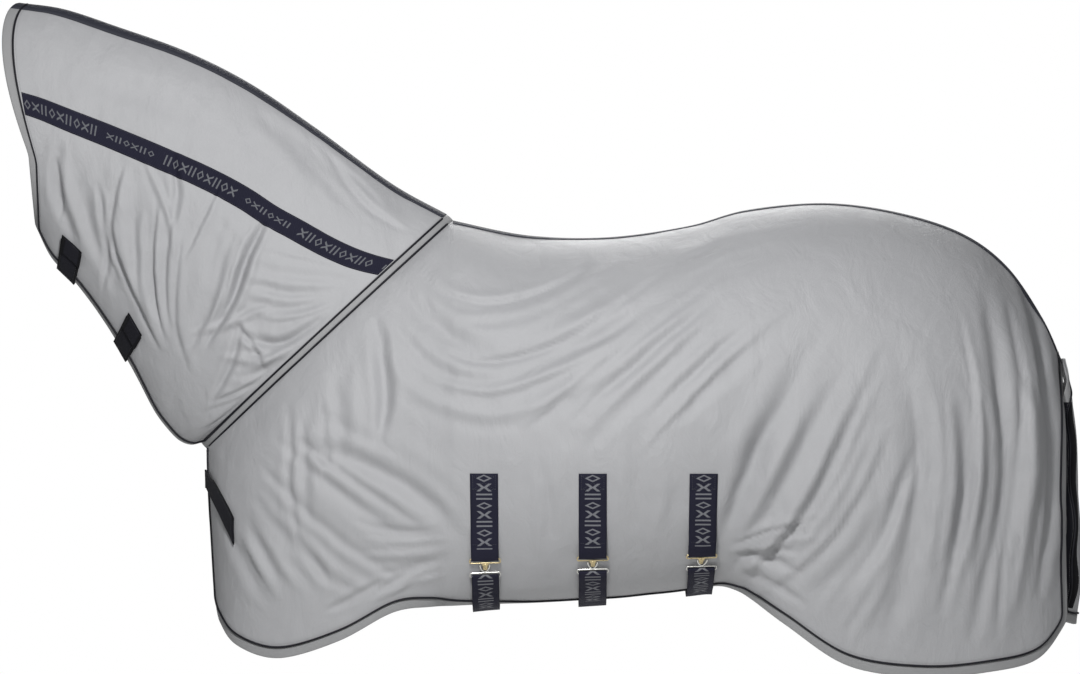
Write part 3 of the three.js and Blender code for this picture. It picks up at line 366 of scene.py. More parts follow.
# Runs of folds: how many, depth, width, and the guide lines of the first and the last.
BODY_FANS = [
    # swags below the withers
    (7, 0.0042, 0.011,
     [(-0.06, -0.06), (-0.00, -0.14), (0.13, -0.14), (0.32, -0.06)],
     [(-0.19, -0.25), (-0.10, -0.37), (0.06, -0.44), (0.23, -0.39), (0.44, -0.27), (0.65, -0.09)]),
    # long pulls up to the croup
    (7, 0.0050, 0.010,
     [(0.14, -0.48), (0.23, -0.38), (0.36, -0.27), (0.58, -0.11)],
     [(0.43, -0.54), (0.55, -0.41), (0.70, -0.27), (0.86, -0.12)]),
    # shoulder
    (8, 0.0046, 0.011,
     [(-0.33, -0.36), (-0.20, -0.45), (-0.05, -0.54), (0.08, -0.66)],
     [(-0.46, -0.56), (-0.37, -0.68), (-0.26, -0.78), (-0.12, -0.84)]),
    # haunch, from the last strap
    (8, 0.0062, 0.011,
     [(0.55, -0.74), (0.61, -0.58), (0.70, -0.41), (0.82, -0.20)],
     [(0.65, -0.83), (0.77, -0.75), (0.90, -0.56), (0.98, -0.36)]),
    # quarters
    (10, 0.0072, 0.013,
     [(0.96, -0.28), (1.00, -0.50), (0.97, -0.71), (0.90, -0.92)],
     [(1.26, -0.27), (1.29, -0.45), (1.28, -0.65), (1.27, -0.84)]),
    # below the neck seam
    (6, 0.0046, 0.010,
     [(-0.15, -0.17), (-0.14, -0.28), (-0.13, -0.39), (-0.16, -0.51)],
     [(-0.39, -0.39), (-0.38, -0.50), (-0.38, -0.61), (-0.35, -0.74)]),
    # barrel
    (6, 0.0026, 0.012,
     [(0.12, -0.48), (0.13, -0.61), (0.16, -0.75)],
     [(0.46, -0.45), (0.46, -0.61), (0.42, -0.74)]),
    # girth
    (5, 0.0040, 0.009,
     [(0.03, -0.76), (-0.05, -0.78), (-0.15, -0.83)],
     [(0.03, -0.65), (-0.11, -0.66), (-0.26, -0.61)]),
    # flank
    (5, 0.0055, 0.008,
     [(0.57, -0.75), (0.66, -0.74), (0.78, -0.75)],
     [(0.59, -0.69), (0.69, -0.65), (0.84, -0.61)]),
    # front corner
    (6, 0.0052, 0.009,
     [(-0.51, -0.61), (-0.48, -0.71), (-0.41, -0.84)],
     [(-0.34, -0.65), (-0.26, -0.76), (-0.22, -0.82)]),
    # hind corner
    (6, 0.0060, 0.010,
     [(0.71, -0.84), (0.84, -0.74), (0.95, -0.54)],
     [(0.90, -0.93), (0.97, -0.74), (1.03, -0.45)]),
    # girth, low
    (4, 0.0040, 0.007,
     [(-0.12, -0.82), (-0.05, -0.77), (0.03, -0.76)],
     [(-0.33, -0.86), (-0.22, -0.81), (-0.11, -0.73)]),
    # loin
    (5, 0.0034, 0.012,
     [(0.41, -0.03), (0.54, 0.01), (0.69, 0.03)],
     [(0.52, -0.17), (0.67, -0.09), (0.86, -0.06)]),
]
NECK_FANS = [
    # below the band
    (9, 0.0056, 0.010,
     [(-0.86, 0.20), (-0.87, 0.09), (-0.82, -0.03), (-0.79, -0.09)],
     [(-0.54, 0.05), (-0.55, -0.09), (-0.56, -0.23), (-0.53, -0.36)]),
    # throat, into the seam
    (6, 0.0052, 0.008,
     [(-0.46, -0.22), (-0.36, -0.26), (-0.25, -0.20)],
     [(-0.59, -0.49), (-0.51, -0.44), (-0.40, -0.35)]),
    # into the seam below the band
    (5, 0.0048, 0.008,
     [(-0.43, -0.05), (-0.31, -0.08), (-0.16, -0.12)],
     [(-0.47, -0.21), (-0.36, -0.23), (-0.23, -0.18)]),
    # middle
    (4, 0.0060, 0.010,
     [(-0.41, -0.00), (-0.45, -0.09), (-0.47, -0.18), (-0.54, -0.27)],
     [(-0.49, 0.01), (-0.52, -0.09), (-0.54, -0.21), (-0.60, -0.35)]),
    # crest
    (5, 0.0022, 0.018,
     [(-0.85, 0.37), (-0.70, 0.31), (-0.53, 0.22)],
     [(-0.88, 0.30), (-0.70, 0.22), (-0.47, 0.13)]),
    # crest, lower
    (5, 0.0026, 0.014,
     [(-0.49, 0.27), (-0.35, 0.15), (-0.22, 0.01)],
     [(-0.33, 0.21), (-0.20, 0.10), (-0.09, -0.02)]),
]


def fanned(fans, seed):
    """Runs of like folds spread between two guide lines, each a little uneven."""
    rng = np.random.default_rng(seed)
    folds = []
    for count, depth, width, first, last in fans:
        first = crom([(x, 0, z) for x, z in first], 9)[:, [0, 2]]
        last = crom([(x, 0, z) for x, z in last], 9)[:, [0, 2]]
        for k in range(count):
            share = (k + 0.5 + rng.uniform(-0.32, 0.32)) / count
            line = first + (last - first) * share + rng.normal(0, 0.0012, (9, 2))
            start, end = rng.uniform(0, 0.25), rng.uniform(0.75, 1)
            places = np.linspace(start, end, 6) * 8
            line = np.stack([np.interp(places, np.arange(9), line[:, c]) for c in (0, 1)], axis=1)
            kind = ("valley", "ridge", "valley", "lap")[rng.integers(0, 4)]
            folds.append((kind, depth * rng.uniform(0.55, 1.25), width * rng.uniform(0.7, 1.35),
                          [tuple(p) for p in line]))
    return folds


def soft_step(value, start, end):
    """0 before start, 1 after end and a soft rise between them."""
    f = np.clip((value - start) / (end - start), 0, 1)
    return f * f * (3 - 2 * f)


SWELL, RIPPLE, GRAIN = 0.0022, 0.0012, 0.0006  # heights of the cloth's own unevenness, broad to fine


def hang(net, folds, seed, amount, still):
    """Lays folds and small unevenness on a net, held still where it is sewn or strapped."""
    normal = net_normals(net)
    x, z = net[..., 0], net[..., 2]
    height = fold_field(x, z, folds, seed)
    height += SWELL * value_noise(x * 7 + 0.25 * z, z * 3.2, seed + 10)
    height += RIPPLE * value_noise(x * 17, z * 8 + 2 * x, seed + 11)
    height += GRAIN * value_noise(x * 48 + 3 * z, z * 30, seed + 12)
    return net + normal * (height * amount * still)[..., None]


def quad_faces(m, n, flip=False):
    """The four-sided faces of an m by n net."""
    i, j = np.meshgrid(np.arange(m - 1), np.arange(n - 1), indexing="ij")
    a = (i * n + j).ravel()
    quads = np.stack([a, a + 1, a + n + 1, a + n], axis=1)
    return quads[:, ::-1] if flip else quads


def make_mesh(name, points, faces, uv=None, smooth=True):
    """A smooth mesh object from points and faces, with UVs in metres."""
    mesh = bpy.data.meshes.new(name)
    mesh.from_pydata([tuple(p) for p in points], [], [tuple(int(k) for k in f) for f in faces])
    if uv is not None:
        layer = mesh.uv_layers.new(name="UVMap")
        loops = np.zeros(len(mesh.loops), int)
        mesh.loops.foreach_get("vertex_index", loops)
        layer.data.foreach_set("uv", np.asarray(uv, np.float32)[loops].ravel())
    if smooth:
        mesh.shade_smooth()
    mesh.update()
    obj = bpy.data.objects.new(name, mesh)
    bpy.context.scene.collection.objects.link(obj)
    return obj


def shell(name, outer, inner, uv, flip=False):
    """A closed thin piece between two nets of the same size, outer one facing out."""
    m, n = outer.shape[:2]
    points = np.concatenate([outer.reshape(-1, 3), inner.reshape(-1, 3)])
    top = quad_faces(m, n, flip)
    under = quad_faces(m, n, not flip) + m * n
    rim = np.concatenate([np.arange(n), n * np.arange(1, m) + n - 1, (m - 1) * n + np.arange(n - 2, -1, -1),
                          n * np.arange(m - 2, 0, -1)])
    after = np.roll(rim, -1)
    walls = np.stack([after, rim, rim + m * n, after + m * n], axis=1)
    walls = walls[:, ::-1] if flip else walls
    uv = uv.reshape(-1, 2)
    return make_mesh(name, points, np.concatenate([top, under, walls]), np.concatenate([uv, uv]))


def net_uv(net):
    """Distance along and down a net, in metres."""
    m, n = net.shape[:2]
    across = np.concatenate([[0], np.cumsum(np.linalg.norm(np.diff(net[:, n // 2], axis=0), axis=1))])
    steps = np.linalg.norm(np.diff(net, axis=1), axis=2)
    down = np.concatenate([np.zeros((m, 1)), np.cumsum(steps, axis=1)], axis=1)
    return np.stack([np.broadcast_to(across[:, None], (m, n)), down], axis=-1)


def net_area(net):
    """A net's area in square metres, half the cross product of each face's diagonals."""
    d1 = net[1:, 1:] - net[:-1, :-1]
    d2 = net[1:, :-1] - net[:-1, 1:]
    return float(np.linalg.norm(np.cross(d1, d2), axis=2).sum() / 2)


BODY_COLUMNS, BODY_ROWS = 270, 160
NECK_COLUMNS, NECK_ROWS = 170, 150
rows = np.linspace(0, 1, BODY_ROWS)
trial = np.linspace(0, STATIONS, 341)
middles = np.array([rib(s, [0.55])[0][0] for s in trial])
run = np.concatenate([[0], np.cumsum(np.linalg.norm(np.diff(middles, axis=0), axis=1))])
body_stations = np.interp(np.linspace(0, run[-1], BODY_COLUMNS), run, trial)
ribs = [rib(s, rows) for s in body_stations]
plain_body = np.stack([r[0] for r in ribs])
rib_lengths = np.array([r[1] for r in ribs])
neck_shares = np.linspace(0, 1, NECK_COLUMNS)
neck_ribs = [neck_rib(t, np.linspace(0, 1, NECK_ROWS)) for t in neck_shares]
plain_neck = np.stack([r[0] for r in neck_ribs])
neck_lengths = np.array([r[1] for r in neck_ribs])


def column_of(station):
    """A body station as a column share of the fine net."""
    return np.interp(station, body_stations, np.linspace(0, 1, BODY_COLUMNS))


STRAPS = [0.072, 0.304, 0.540]
TAB_DROP = 0.544
TAB_LENGTH = 0.188
STRAP_HALF = 0.030


def held_body(net):
    """How free each place of the body is to fold: not at the spine, seam, hem or under the straps."""
    from_top = net_uv(net)[..., 1]
    from_hem = rib_lengths[:, None] - from_top
    free = soft_step(from_top, 0.0, 0.05) * (0.35 + 0.65 * soft_step(from_hem, 0.0, 0.10))
    from_front = np.linalg.norm(net - net[:1], axis=2)
    free = free * (0.25 + 0.75 * soft_step(from_front, 0.0, 0.06))
    croup = np.hypot(net[..., 0] - 0.82, (net[..., 2] + 0.05) * 0.8)
    free = free * (0.25 + 0.75 * soft_step(croup, 0.18, 0.42))
    for x in STRAPS:
        near_strap = np.abs(net[..., 0] - x)
        beside = 1 - soft_step(near_strap, 0.03, 0.075)
        tall = soft_step(-net[..., 2], TAB_DROP - 0.06, TAB_DROP)
        free = free * (1 - 0.75 * beside * tall)
    return free


def held_neck(net):
    """How free each place of the neck is to fold: not at the crest, throat, seam or poll."""
    from_top = net_uv(net)[..., 1]
    from_throat = neck_lengths[:, None] - from_top
    from_seam = np.linalg.norm(net - net[-1:], axis=2)
    from_poll = np.linalg.norm(net - net[:1], axis=2)
    free = soft_step(from_top, 0.0, 0.06) * (0.3 + 0.7 * soft_step(from_throat, 0.0, 0.07))
    return free * soft_step(from_seam, 0.0, 0.035) * (0.3 + 0.7 * soft_step(from_poll, 0.0, 0.06))


FOLD_AMOUNT = 1.28
OFF_AMOUNT = 0.9 * FOLD_AMOUNT
body_free, neck_free = held_body(plain_body), held_neck(plain_neck)
near_body = Cloth(hang(plain_body, BODY_FOLDS + fanned(BODY_FANS, 5), 11, FOLD_AMOUNT, body_free))
near_neck = Cloth(hang(plain_neck, NECK_FOLDS + fanned(NECK_FANS, 6), 23, FOLD_AMOUNT, neck_free))
off_body = Cloth(hang(plain_body, BODY_FOLDS[1:] + fanned(BODY_FANS, 7), 57, OFF_AMOUNT, body_free))
off_neck = Cloth(hang(plain_neck, NECK_FOLDS[1:] + fanned(NECK_FANS, 8), 71, OFF_AMOUNT, neck_free))
OFF = np.array([1, -1, 1])


def node_tools(name):
    """A new material with its tree and its surface node."""
    material = bpy.data.materials.new(name)
    material.use_nodes = True
    tree = material.node_tree
    return material, tree, tree.nodes["Principled BSDF"]


def put(tree, kind, **values):
    """Adds a node and sets its settings or input sockets by name."""
    node = tree.nodes.new(kind)
    for key, value in values.items():
        if hasattr(node, key):
            setattr(node, key, value)
        else:
            node.inputs[key.replace("_", " ")].default_value = value
    return node


def woven(name, dark, light, thread, roughness, sheen, crumple=0.0, twill=0.0, patch_scale=3.0, depth=0.35,
          gloss=0.5):
    """Woven fabric on the piece's UV in metres: threads, colour that drifts, soft sheen, small creases."""
    material, tree, surface = node_tools(name)
    link = tree.links.new
    uv = put(tree, "ShaderNodeUVMap", uv_map="UVMap")
    place = put(tree, "ShaderNodeTexCoord")
    drift = put(tree, "ShaderNodeTexNoise", Scale=patch_scale, Detail=3.0)
    link(place.outputs["Object"], drift.inputs["Vector"])
    fine = put(tree, "ShaderNodeTexNoise", Scale=260.0, Detail=2.0)
    link(uv.outputs["UV"], fine.inputs["Vector"])
    split = put(tree, "ShaderNodeSeparateXYZ")
    link(uv.outputs["UV"], split.inputs[0])
    waves = []
    for axis, phase in (("X", 0.0), ("Y", 1.2)):
        turns = put(tree, "ShaderNodeMath", operation="MULTIPLY_ADD")
        turns.inputs[1].default_value = math.pi / thread
        link(split.outputs[axis], turns.inputs[0])
        if twill:
            slant = put(tree, "ShaderNodeMath", operation="MULTIPLY")
            slant.inputs[1].default_value = twill * math.pi / thread
            link(split.outputs["Y" if axis == "X" else "X"], slant.inputs[0])
            link(slant.outputs[0], turns.inputs[2])
        else:
            turns.inputs[2].default_value = phase
        wave = put(tree, "ShaderNodeMath", operation="SINE")
        link(turns.outputs[0], wave.inputs[0])
        waves.append(wave)
    weave = put(tree, "ShaderNodeMath", operation="MULTIPLY")
    link(waves[0].outputs[0], weave.inputs[0])
    link(waves[1].outputs[0], weave.inputs[1])
    mixed = put(tree, "ShaderNodeMix", data_type="RGBA")
    mixed.inputs[6].default_value = (*dark, 1)
    mixed.inputs[7].default_value = (*light, 1)
    amount = put(tree, "ShaderNodeMath", operation="MULTIPLY_ADD")
    amount.inputs[1].default_value = 0.25
    link(weave.outputs[0], amount.inputs[0])
    link(drift.outputs["Fac"], amount.inputs[2])
    speck = put(tree, "ShaderNodeMath", operation="MULTIPLY_ADD", use_clamp=True)
    speck.inputs[1].default_value = 0.5
    speck_zero = put(tree, "ShaderNodeMath", operation="SUBTRACT")
    speck_zero.inputs[1].default_value = 0.5
    link(fine.outputs["Fac"], speck_zero.inputs[0])
    link(speck_zero.outputs[0], speck.inputs[0])
    link(amount.outputs[0], speck.inputs[2])
    link(speck.outputs[0], mixed.inputs[0])
    link(mixed.outputs[2], surface.inputs["Base Color"])
    rough = put(tree, "ShaderNodeMath", operation="MULTIPLY_ADD")
    rough.inputs[1].default_value = 0.12
    rough.inputs[2].default_value = roughness - 0.06
    link(fine.outputs["Fac"], rough.inputs[0])
    link(rough.outputs[0], surface.inputs["Roughness"])
    surface.inputs["Sheen Weight"].default_value = sheen
    surface.inputs["Sheen Roughness"].default_value = 0.4
    surface.inputs["Specular IOR Level"].default_value = gloss
    threads = put(tree, "ShaderNodeBump", Strength=depth, Distance=thread * 0.35)
    link(weave.outputs[0], threads.inputs["Height"])
    last = threads
    if crumple:
        creases = put(tree, "ShaderNodeTexNoise", Scale=16.0, Detail=4.0, Roughness=0.55, Distortion=0.6)
        stretch = put(tree, "ShaderNodeMapping")
        stretch.inputs["Scale"].default_value = (1.0, 1.0, 0.55)
        link(place.outputs["Object"], stretch.inputs["Vector"])
        link(stretch.outputs[0], creases.inputs["Vector"])
        bend = put(tree, "ShaderNodeBump", Strength=1.0, Distance=crumple)
        link(creases.outputs["Fac"], bend.inputs["Height"])
        link(threads.outputs[0], bend.inputs["Normal"])
        last = bend
    link(last.outputs[0], surface.inputs["Normal"])
    return material, tree, surface


cloth_grey = woven("grey polyester", (0.362, 0.364, 0.376), (0.424, 0.425, 0.437), 0.0011, 0.50, 0.10,
                   crumple=0.0045)[0]


def panel(name, cloth, off, uv, node):
    """One cloth panel as a thin closed shell around its hung net."""
    side = OFF if off else np.ones(3)
    outer = (cloth.net + cloth.normals * CLOTH_THICK / 2) * side
    inner = (cloth.net - cloth.normals * CLOTH_THICK / 2) * side
    piece = shell(name, outer, inner, uv, flip=off)
    piece.data.materials.append(cloth_grey)
    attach(piece, "cover")
    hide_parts(node)
    return piece


body_uv, neck_uv = net_uv(plain_body), net_uv(plain_neck)
BODY_FLAT, BODY_AREA = (1.90, 1.20), round(net_area(plain_body), 3)
NECK_FLAT, NECK_AREA = (0.98, 0.80), round(net_area(plain_neck), 3)
for label, cloth, off, uv, node, flat, area in (
        ("body_cloth_near", near_body, False, body_uv, "body_panel_near", BODY_FLAT, BODY_AREA),
        ("body_cloth_off", off_body, True, body_uv, "body_panel_off", BODY_FLAT, BODY_AREA),
        ("neck_cloth_near", near_neck, False, neck_uv, "neck_panel_near", NECK_FLAT, NECK_AREA),
        ("neck_cloth_off", off_neck, True, neck_uv, "neck_panel_off", NECK_FLAT, NECK_AREA)):
    panel(label, cloth, off, uv, node)


# ---- Edge bindings and piping ----
# Grey tape folded over every open edge and sewn through, with a round black satin piping let in
# along its inner edge. It runs down the front, round the hem and up the rear edge.
PIPING_RADIUS = 0.0023
PIPING_INSET = 0.0230
BINDING_PROFILE = [(0.0200, 0.0011), (0.0150, 0.0013), (0.0080, 0.0012), (0.0020, 0.0013),
                   (-0.0007, 0.0009), (-0.0014, 0.0), (-0.0007, -0.0009), (0.0020, -0.0013),
                   (0.0080, -0.0012), (0.0200, -0.0011), (0.0200, -0.0006), (0.0010, -0.0006),
                   (0.0002, 0.0), (0.0010, 0.0006), (0.0200, 0.0006)]

grey_tape = woven("grey binding tape", (0.27, 0.271, 0.276), (0.34, 0.341, 0.346), 0.0012, 0.62, 0.06)[0]
satin_piping = woven("black satin piping", (0.006, 0.006, 0.009), (0.012, 0.012, 0.018), 0.0008, 0.45, 0.02,
                     twill=0.6, gloss=0.25)[0]


def outward(obj):
    """Turns every face of a closed piece to face out."""
    work = bmesh.new()
    work.from_mesh(obj.data)
    bmesh.ops.recalc_face_normals(work, faces=work.faces)
    work.to_mesh(obj.data)
    work.free()
    return obj


def swept(name, loops, material, body, nodes=()):
    """A closed band from a ring of lines: loops[k] is the line of one corner of its section."""
    loops = np.asarray(loops)
    count, length = loops.shape[:2]
    k, i = np.meshgrid(np.arange(count), np.arange(length - 1), indexing="ij")
    a = (k * length + i).ravel()
    b = (((k + 1) % count) * length + i).ravel()
    faces = [tuple(f) for f in np.stack([a, b, b + 1, a + 1], axis=1)]
    faces.append(tuple(int(q * length) for q in range(count)))
    faces.append(tuple(int(q * length + length - 1) for q in range(count - 1, -1, -1)))
    run = np.concatenate([[0], np.cumsum(np.linalg.norm(np.diff(loops[0], axis=0), axis=1))])
    width = np.concatenate([[0], np.cumsum(np.linalg.norm(np.diff(loops[:, length // 2], axis=0), axis=1))])
    uv = np.stack([np.broadcast_to(width[:, None], (count, length)),
                   np.broadcast_to(run[None, :], (count, length))], axis=-1)
    piece = outward(make_mesh(name, loops.reshape(-1, 3), faces, uv.reshape(-1, 2)))
    return finish_piece(piece, material, body, nodes)


def finish_piece(piece, material, body, nodes=()):
    """Gives a piece its finish and the body it moves with, and hides the nodes it stands for."""
    piece.data.materials.clear()
    piece.data.materials.append(material)
    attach(piece, body)
    if nodes:
        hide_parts(*nodes)
    return piece


def lengths_at(lengths, u):
    """The rib length at a column share, to turn metres down a rib into a share of it."""
    return np.interp(u, np.linspace(0, 1, len(lengths)), lengths)


def edge_line(cloth, lengths, inset, height, with_rear, counts=(150, 330, 110), top=0.012, rear_top=0.02):
    """A line along the front edge, the hem and the rear edge, at an inset and a height."""
    m = cloth.net.shape[0]
    v = np.linspace(0, 1, cloth.net.shape[1])
    front_step = np.linalg.norm(cloth.net[2] - cloth.net[0], axis=1) / 2 * (m - 1)
    rear_step = np.linalg.norm(cloth.net[-1] - cloth.net[-3], axis=1) / 2 * (m - 1)
    low_front = 1 - inset / lengths[0]
    front_v = top + (low_front - top) * np.linspace(0, 1, counts[0])
    front_u = inset / np.interp(front_v, v, front_step)
    last_u = 1.0
    if with_rear:
        low_rear = 1 - inset / lengths[-1]
        rear_v = low_rear + (rear_top - low_rear) * np.linspace(0, 1, counts[2])
        rear_u = 1 - inset / np.interp(rear_v, v, rear_step)
        last_u = rear_u[0]
    hem_u = np.linspace(front_u[-1], last_u, counts[1])
    hem_v = 1 - inset / lengths_at(lengths, hem_u)
    parts = [cloth.at(front_u, front_v, height), cloth.at(hem_u, hem_v, height)[1:]]
    if with_rear:
        parts.append(cloth.at(rear_u, rear_v, height)[1:])
    line = np.concatenate(parts)
    for _ in range(3):
        line[1:-1] = (line[:-2] + 2 * line[1:-1] + line[2:]) / 4
    return line


def round_section(inset, height, radius, sides=8):
    """A round cord's section as insets and heights."""
    turns = np.arange(sides) * 2 * math.pi / sides
    return [(inset + radius * math.cos(a), height + radius * math.sin(a)) for a in turns]


def thread_finish(name, dark, light):
    """Twisted sewing thread: fine bands of light and dark, a little shiny."""
    material, tree, surface = node_tools(name)
    place = put(tree, "ShaderNodeTexCoord")
    strands = put(tree, "ShaderNodeTexNoise", Scale=900.0, Detail=2.0)
    tree.links.new(place.outputs["Object"], strands.inputs["Vector"])
    mixed = put(tree, "ShaderNodeMix", data_type="RGBA")
    mixed.inputs[6].default_value = (*dark, 1)
    mixed.inputs[7].default_value = (*light, 1)
    tree.links.new(strands.outputs["Fac"], mixed.inputs[0])
    tree.links.new(mixed.outputs[2], surface.inputs["Base Color"])
    surface.inputs["Roughness"].default_value = 0.5
    surface.inputs["Sheen Weight"].default_value = 0.1
    twist = put(tree, "ShaderNodeBump", Strength=0.5, Distance=0.0002)
    tree.links.new(strands.outputs["Fac"], twist.inputs["Height"])
    tree.links.new(twist.outputs[0], surface.inputs["Normal"])
    return material


def stitch_tree():
    """Geometry Nodes that lay one stitch after another along every line of a mesh."""
    tree = bpy.data.node_groups.new("stitches", "GeometryNodeTree")
    tree.interface.new_socket("Lines", in_out="INPUT", socket_type="NodeSocketGeometry")
    for label in ("Spacing", "Stitch Length", "Thread Radius"):
        tree.interface.new_socket(label, in_out="INPUT", socket_type="NodeSocketFloat")
    tree.interface.new_socket("Thread", in_out="INPUT", socket_type="NodeSocketMaterial")
    tree.interface.new_socket("Stitches", in_out="OUTPUT", socket_type="NodeSocketGeometry")
    given, result = put(tree, "NodeGroupInput"), put(tree, "NodeGroupOutput")
    curves = put(tree, "GeometryNodeMeshToCurve")
    evenly = put(tree, "GeometryNodeResampleCurve", mode="LENGTH")
    stitch = put(tree, "GeometryNodeMeshUVSphere", Segments=6, Rings=4, Radius=1.0)
    shape, sizes = put(tree, "GeometryNodeTransform"), put(tree, "ShaderNodeCombineXYZ")
    half = put(tree, "ShaderNodeMath", operation="MULTIPLY")
    half.inputs[1].default_value = 0.5
    heading = put(tree, "GeometryNodeInputTangent")
    turned = put(tree, "FunctionNodeAlignRotationToVector", axis="Z")
    uneven = put(tree, "FunctionNodeRandomValue", data_type="FLOAT", Min=0.88, Max=1.08, Seed=4)
    placed, real = put(tree, "GeometryNodeInstanceOnPoints"), put(tree, "GeometryNodeRealizeInstances")
    finish = put(tree, "GeometryNodeSetMaterial")
    for source, target in (
            (given.outputs["Lines"], curves.inputs["Mesh"]),
            (curves.outputs["Curve"], evenly.inputs["Curve"]),
            (given.outputs["Spacing"], evenly.inputs["Length"]),
            (stitch.outputs["Mesh"], shape.inputs["Geometry"]),
            (given.outputs["Stitch Length"], half.inputs[0]),
            (half.outputs[0], sizes.inputs["Z"]),
            (given.outputs["Thread Radius"], sizes.inputs["X"]),
            (given.outputs["Thread Radius"], sizes.inputs["Y"]),
            (sizes.outputs[0], shape.inputs["Scale"]),
            (heading.outputs[0], turned.inputs["Vector"]),
            (evenly.outputs["Curve"], placed.inputs["Points"]),
            (shape.outputs[0], placed.inputs["Instance"]),
            (turned.outputs[0], placed.inputs["Rotation"]),
            (uneven.outputs[1], placed.inputs["Scale"]),
            (placed.outputs[0], real.inputs[0]),
            (real.outputs[0], finish.inputs["Geometry"]),
            (given.outputs["Thread"], finish.inputs["Material"]),
            (finish.outputs[0], result.inputs[0])):
        tree.links.new(source, target)
    return tree


stitches = stitch_tree()
STITCH_SPACING, STITCH_LENGTH, THREAD_RADIUS = 0.0044, 0.0033, 0.00032


def sew(name, lines, thread, body):
    """Sews along each line of points and leaves one plain mesh of stitches."""
    points = np.concatenate(lines)
    ends = np.cumsum([len(line) for line in lines]) - 1
    edges = [(k, k + 1) for k in range(len(points) - 1) if k not in set(ends.tolist())]
    mesh = bpy.data.meshes.new(name)
    mesh.from_pydata([tuple(map(float, p)) for p in points], edges, [])
    piece = bpy.data.objects.new(name, mesh)
    bpy.context.scene.collection.objects.link(piece)
    modifier = piece.modifiers.new("stitches", "NODES")
    modifier.node_group = stitches
    values = {"Spacing": STITCH_SPACING, "Stitch Length": STITCH_LENGTH, "Thread Radius": THREAD_RADIUS,
              "Thread": thread}
    for socket in stitches.interface.items_tree:
        if socket.name in values:
            modifier[socket.identifier] = values[socket.name]
    graph = bpy.context.evaluated_depsgraph_get()
    piece_mesh = bpy.data.meshes.new_from_object(piece.evaluated_get(graph))
    piece.modifiers.remove(modifier)
    piece.data = piece_mesh
    return finish_piece(piece, thread, body)


grey_thread = thread_finish("grey sewing thread", (0.30, 0.305, 0.31), (0.46, 0.465, 0.47))
dark_thread = thread_finish("navy sewing thread", (0.030, 0.031, 0.042), (0.075, 0.077, 0.095))
piping_section = round_section(PIPING_INSET, CLOTH_THICK / 2 + PIPING_RADIUS * 0.9, PIPING_RADIUS)
edge_sets = (("hem", near_body, rib_lengths, "near", True), ("hem", off_body, rib_lengths, "off", True),
             ("neck", near_neck, neck_lengths, "near", False), ("neck", off_neck, neck_lengths, "off", False))
for part, cloth, lengths, side, with_rear in edge_sets:
    turn = OFF if side == "off" else np.ones(3)
    for kind, section, material, slot in (("binding", BINDING_PROFILE, grey_tape, "grey_binding"),
                                          ("piping", piping_section, satin_piping, "piping")):
        loops = [edge_line(cloth, lengths, inset, height, with_rear) * turn for inset, height in section]
        swept(f"{part}_{kind}_tape_{side}", loops, material, "cover", [f"{part}_{kind}_{side}"])
STITCH_INSETS, STITCH_HEIGHT = (0.0175, 0.0300), 0.00145  # one row holds the tape, one the piping's flange
for side, cloths in (("near", (near_body, near_neck)), ("off", (off_body, off_neck))):
    turn = OFF if side == "off" else np.ones(3)
    edges = ((cloths[0], rib_lengths, True), (cloths[1], neck_lengths, False))
    lines = [edge_line(cloth, lengths, inset, STITCH_HEIGHT, with_rear) * turn
             for cloth, lengths, with_rear in edges for inset in STITCH_INSETS]
    sew(f"edge_stitches_{side}", lines, grey_thread, "cover")


# ---- Centre tapes ----
# Dark stretch tape, sewn over the joined edges of the two halves so that no raw seam rubs:
# narrow down the spine and wider on the crest, where the mane lies.
stretch_tape = woven("dark stretch tape", (0.020, 0.021, 0.030), (0.042, 0.044, 0.058), 0.0014, 0.62, 0.04,
                     twill=0.4, gloss=0.25)[0]
TAPE_TOP, TAPE_UNDER = 0.0019, 0.0007
SPINE_HALF, CREST_HALF = 0.018, 0.030


def centre_tape(name, near, off, lengths, from_u, to_u, half_width, node):
    """A tape over the middle seam, laid across it from the near cloth to the off cloth."""
    u = np.linspace(from_u, to_u, 260)
    steps = np.array([1, 0.66, 0.33, 0])
    loops = []
    for height in (TAPE_TOP, TAPE_UNDER):
        row = [near.at(u, half_width * w / lengths_at(lengths, u), height) for w in steps]
        row += [off.at(u, half_width * w / lengths_at(lengths, u), height) * OFF for w in steps[::-1]]
        loops += row if height == TAPE_TOP else row[::-1]
    swept(name, loops, stretch_tape, "cover", [node])


centre_tape("spine_tape_woven", near_body, off_body, rib_lengths, column_of(SEAM_STATIONS), 1.0, SPINE_HALF,
            "spine_tape")
centre_tape("crest_tape_woven", near_neck, off_neck, neck_lengths, 0.0, 1.0, CREST_HALF, "crest_strip")


# ---- Collar between neck and body ----
# A strip of the grey binding tape that joins neck to body from the withers to the chest,
# slightly padded, with round black piping let into both of its seams and a stitch row beside each.
seam_u = np.linspace(column_of(SEAM_STATIONS), 0, 400)
seam_places = near_body.at(seam_u, 0.0)
seam_run = np.concatenate([[0], np.cumsum(np.linalg.norm(np.diff(seam_places, axis=0), axis=1))])
collar_share = np.linspace(0, 1, 200)
collar_u = np.interp(collar_share * seam_run[-1], seam_run, seam_u)
COLLAR_UNDER = -0.0004
COLLAR_PIPINGS, COLLAR_ROWS = (("front", 0.06), ("rear", 0.94)), (0.24, 0.76)
CORD_HEIGHT, THREAD_LIFT = 0.0022, 0.0002
INSIDE_ENDS = slice(8, -6)  # cords and stitches stop short of the strip's ends


def collar_crown(share):
    """The strip stands a little proud between its seams."""
    return 0.0010 + 0.0012 * math.sin(math.pi * share)


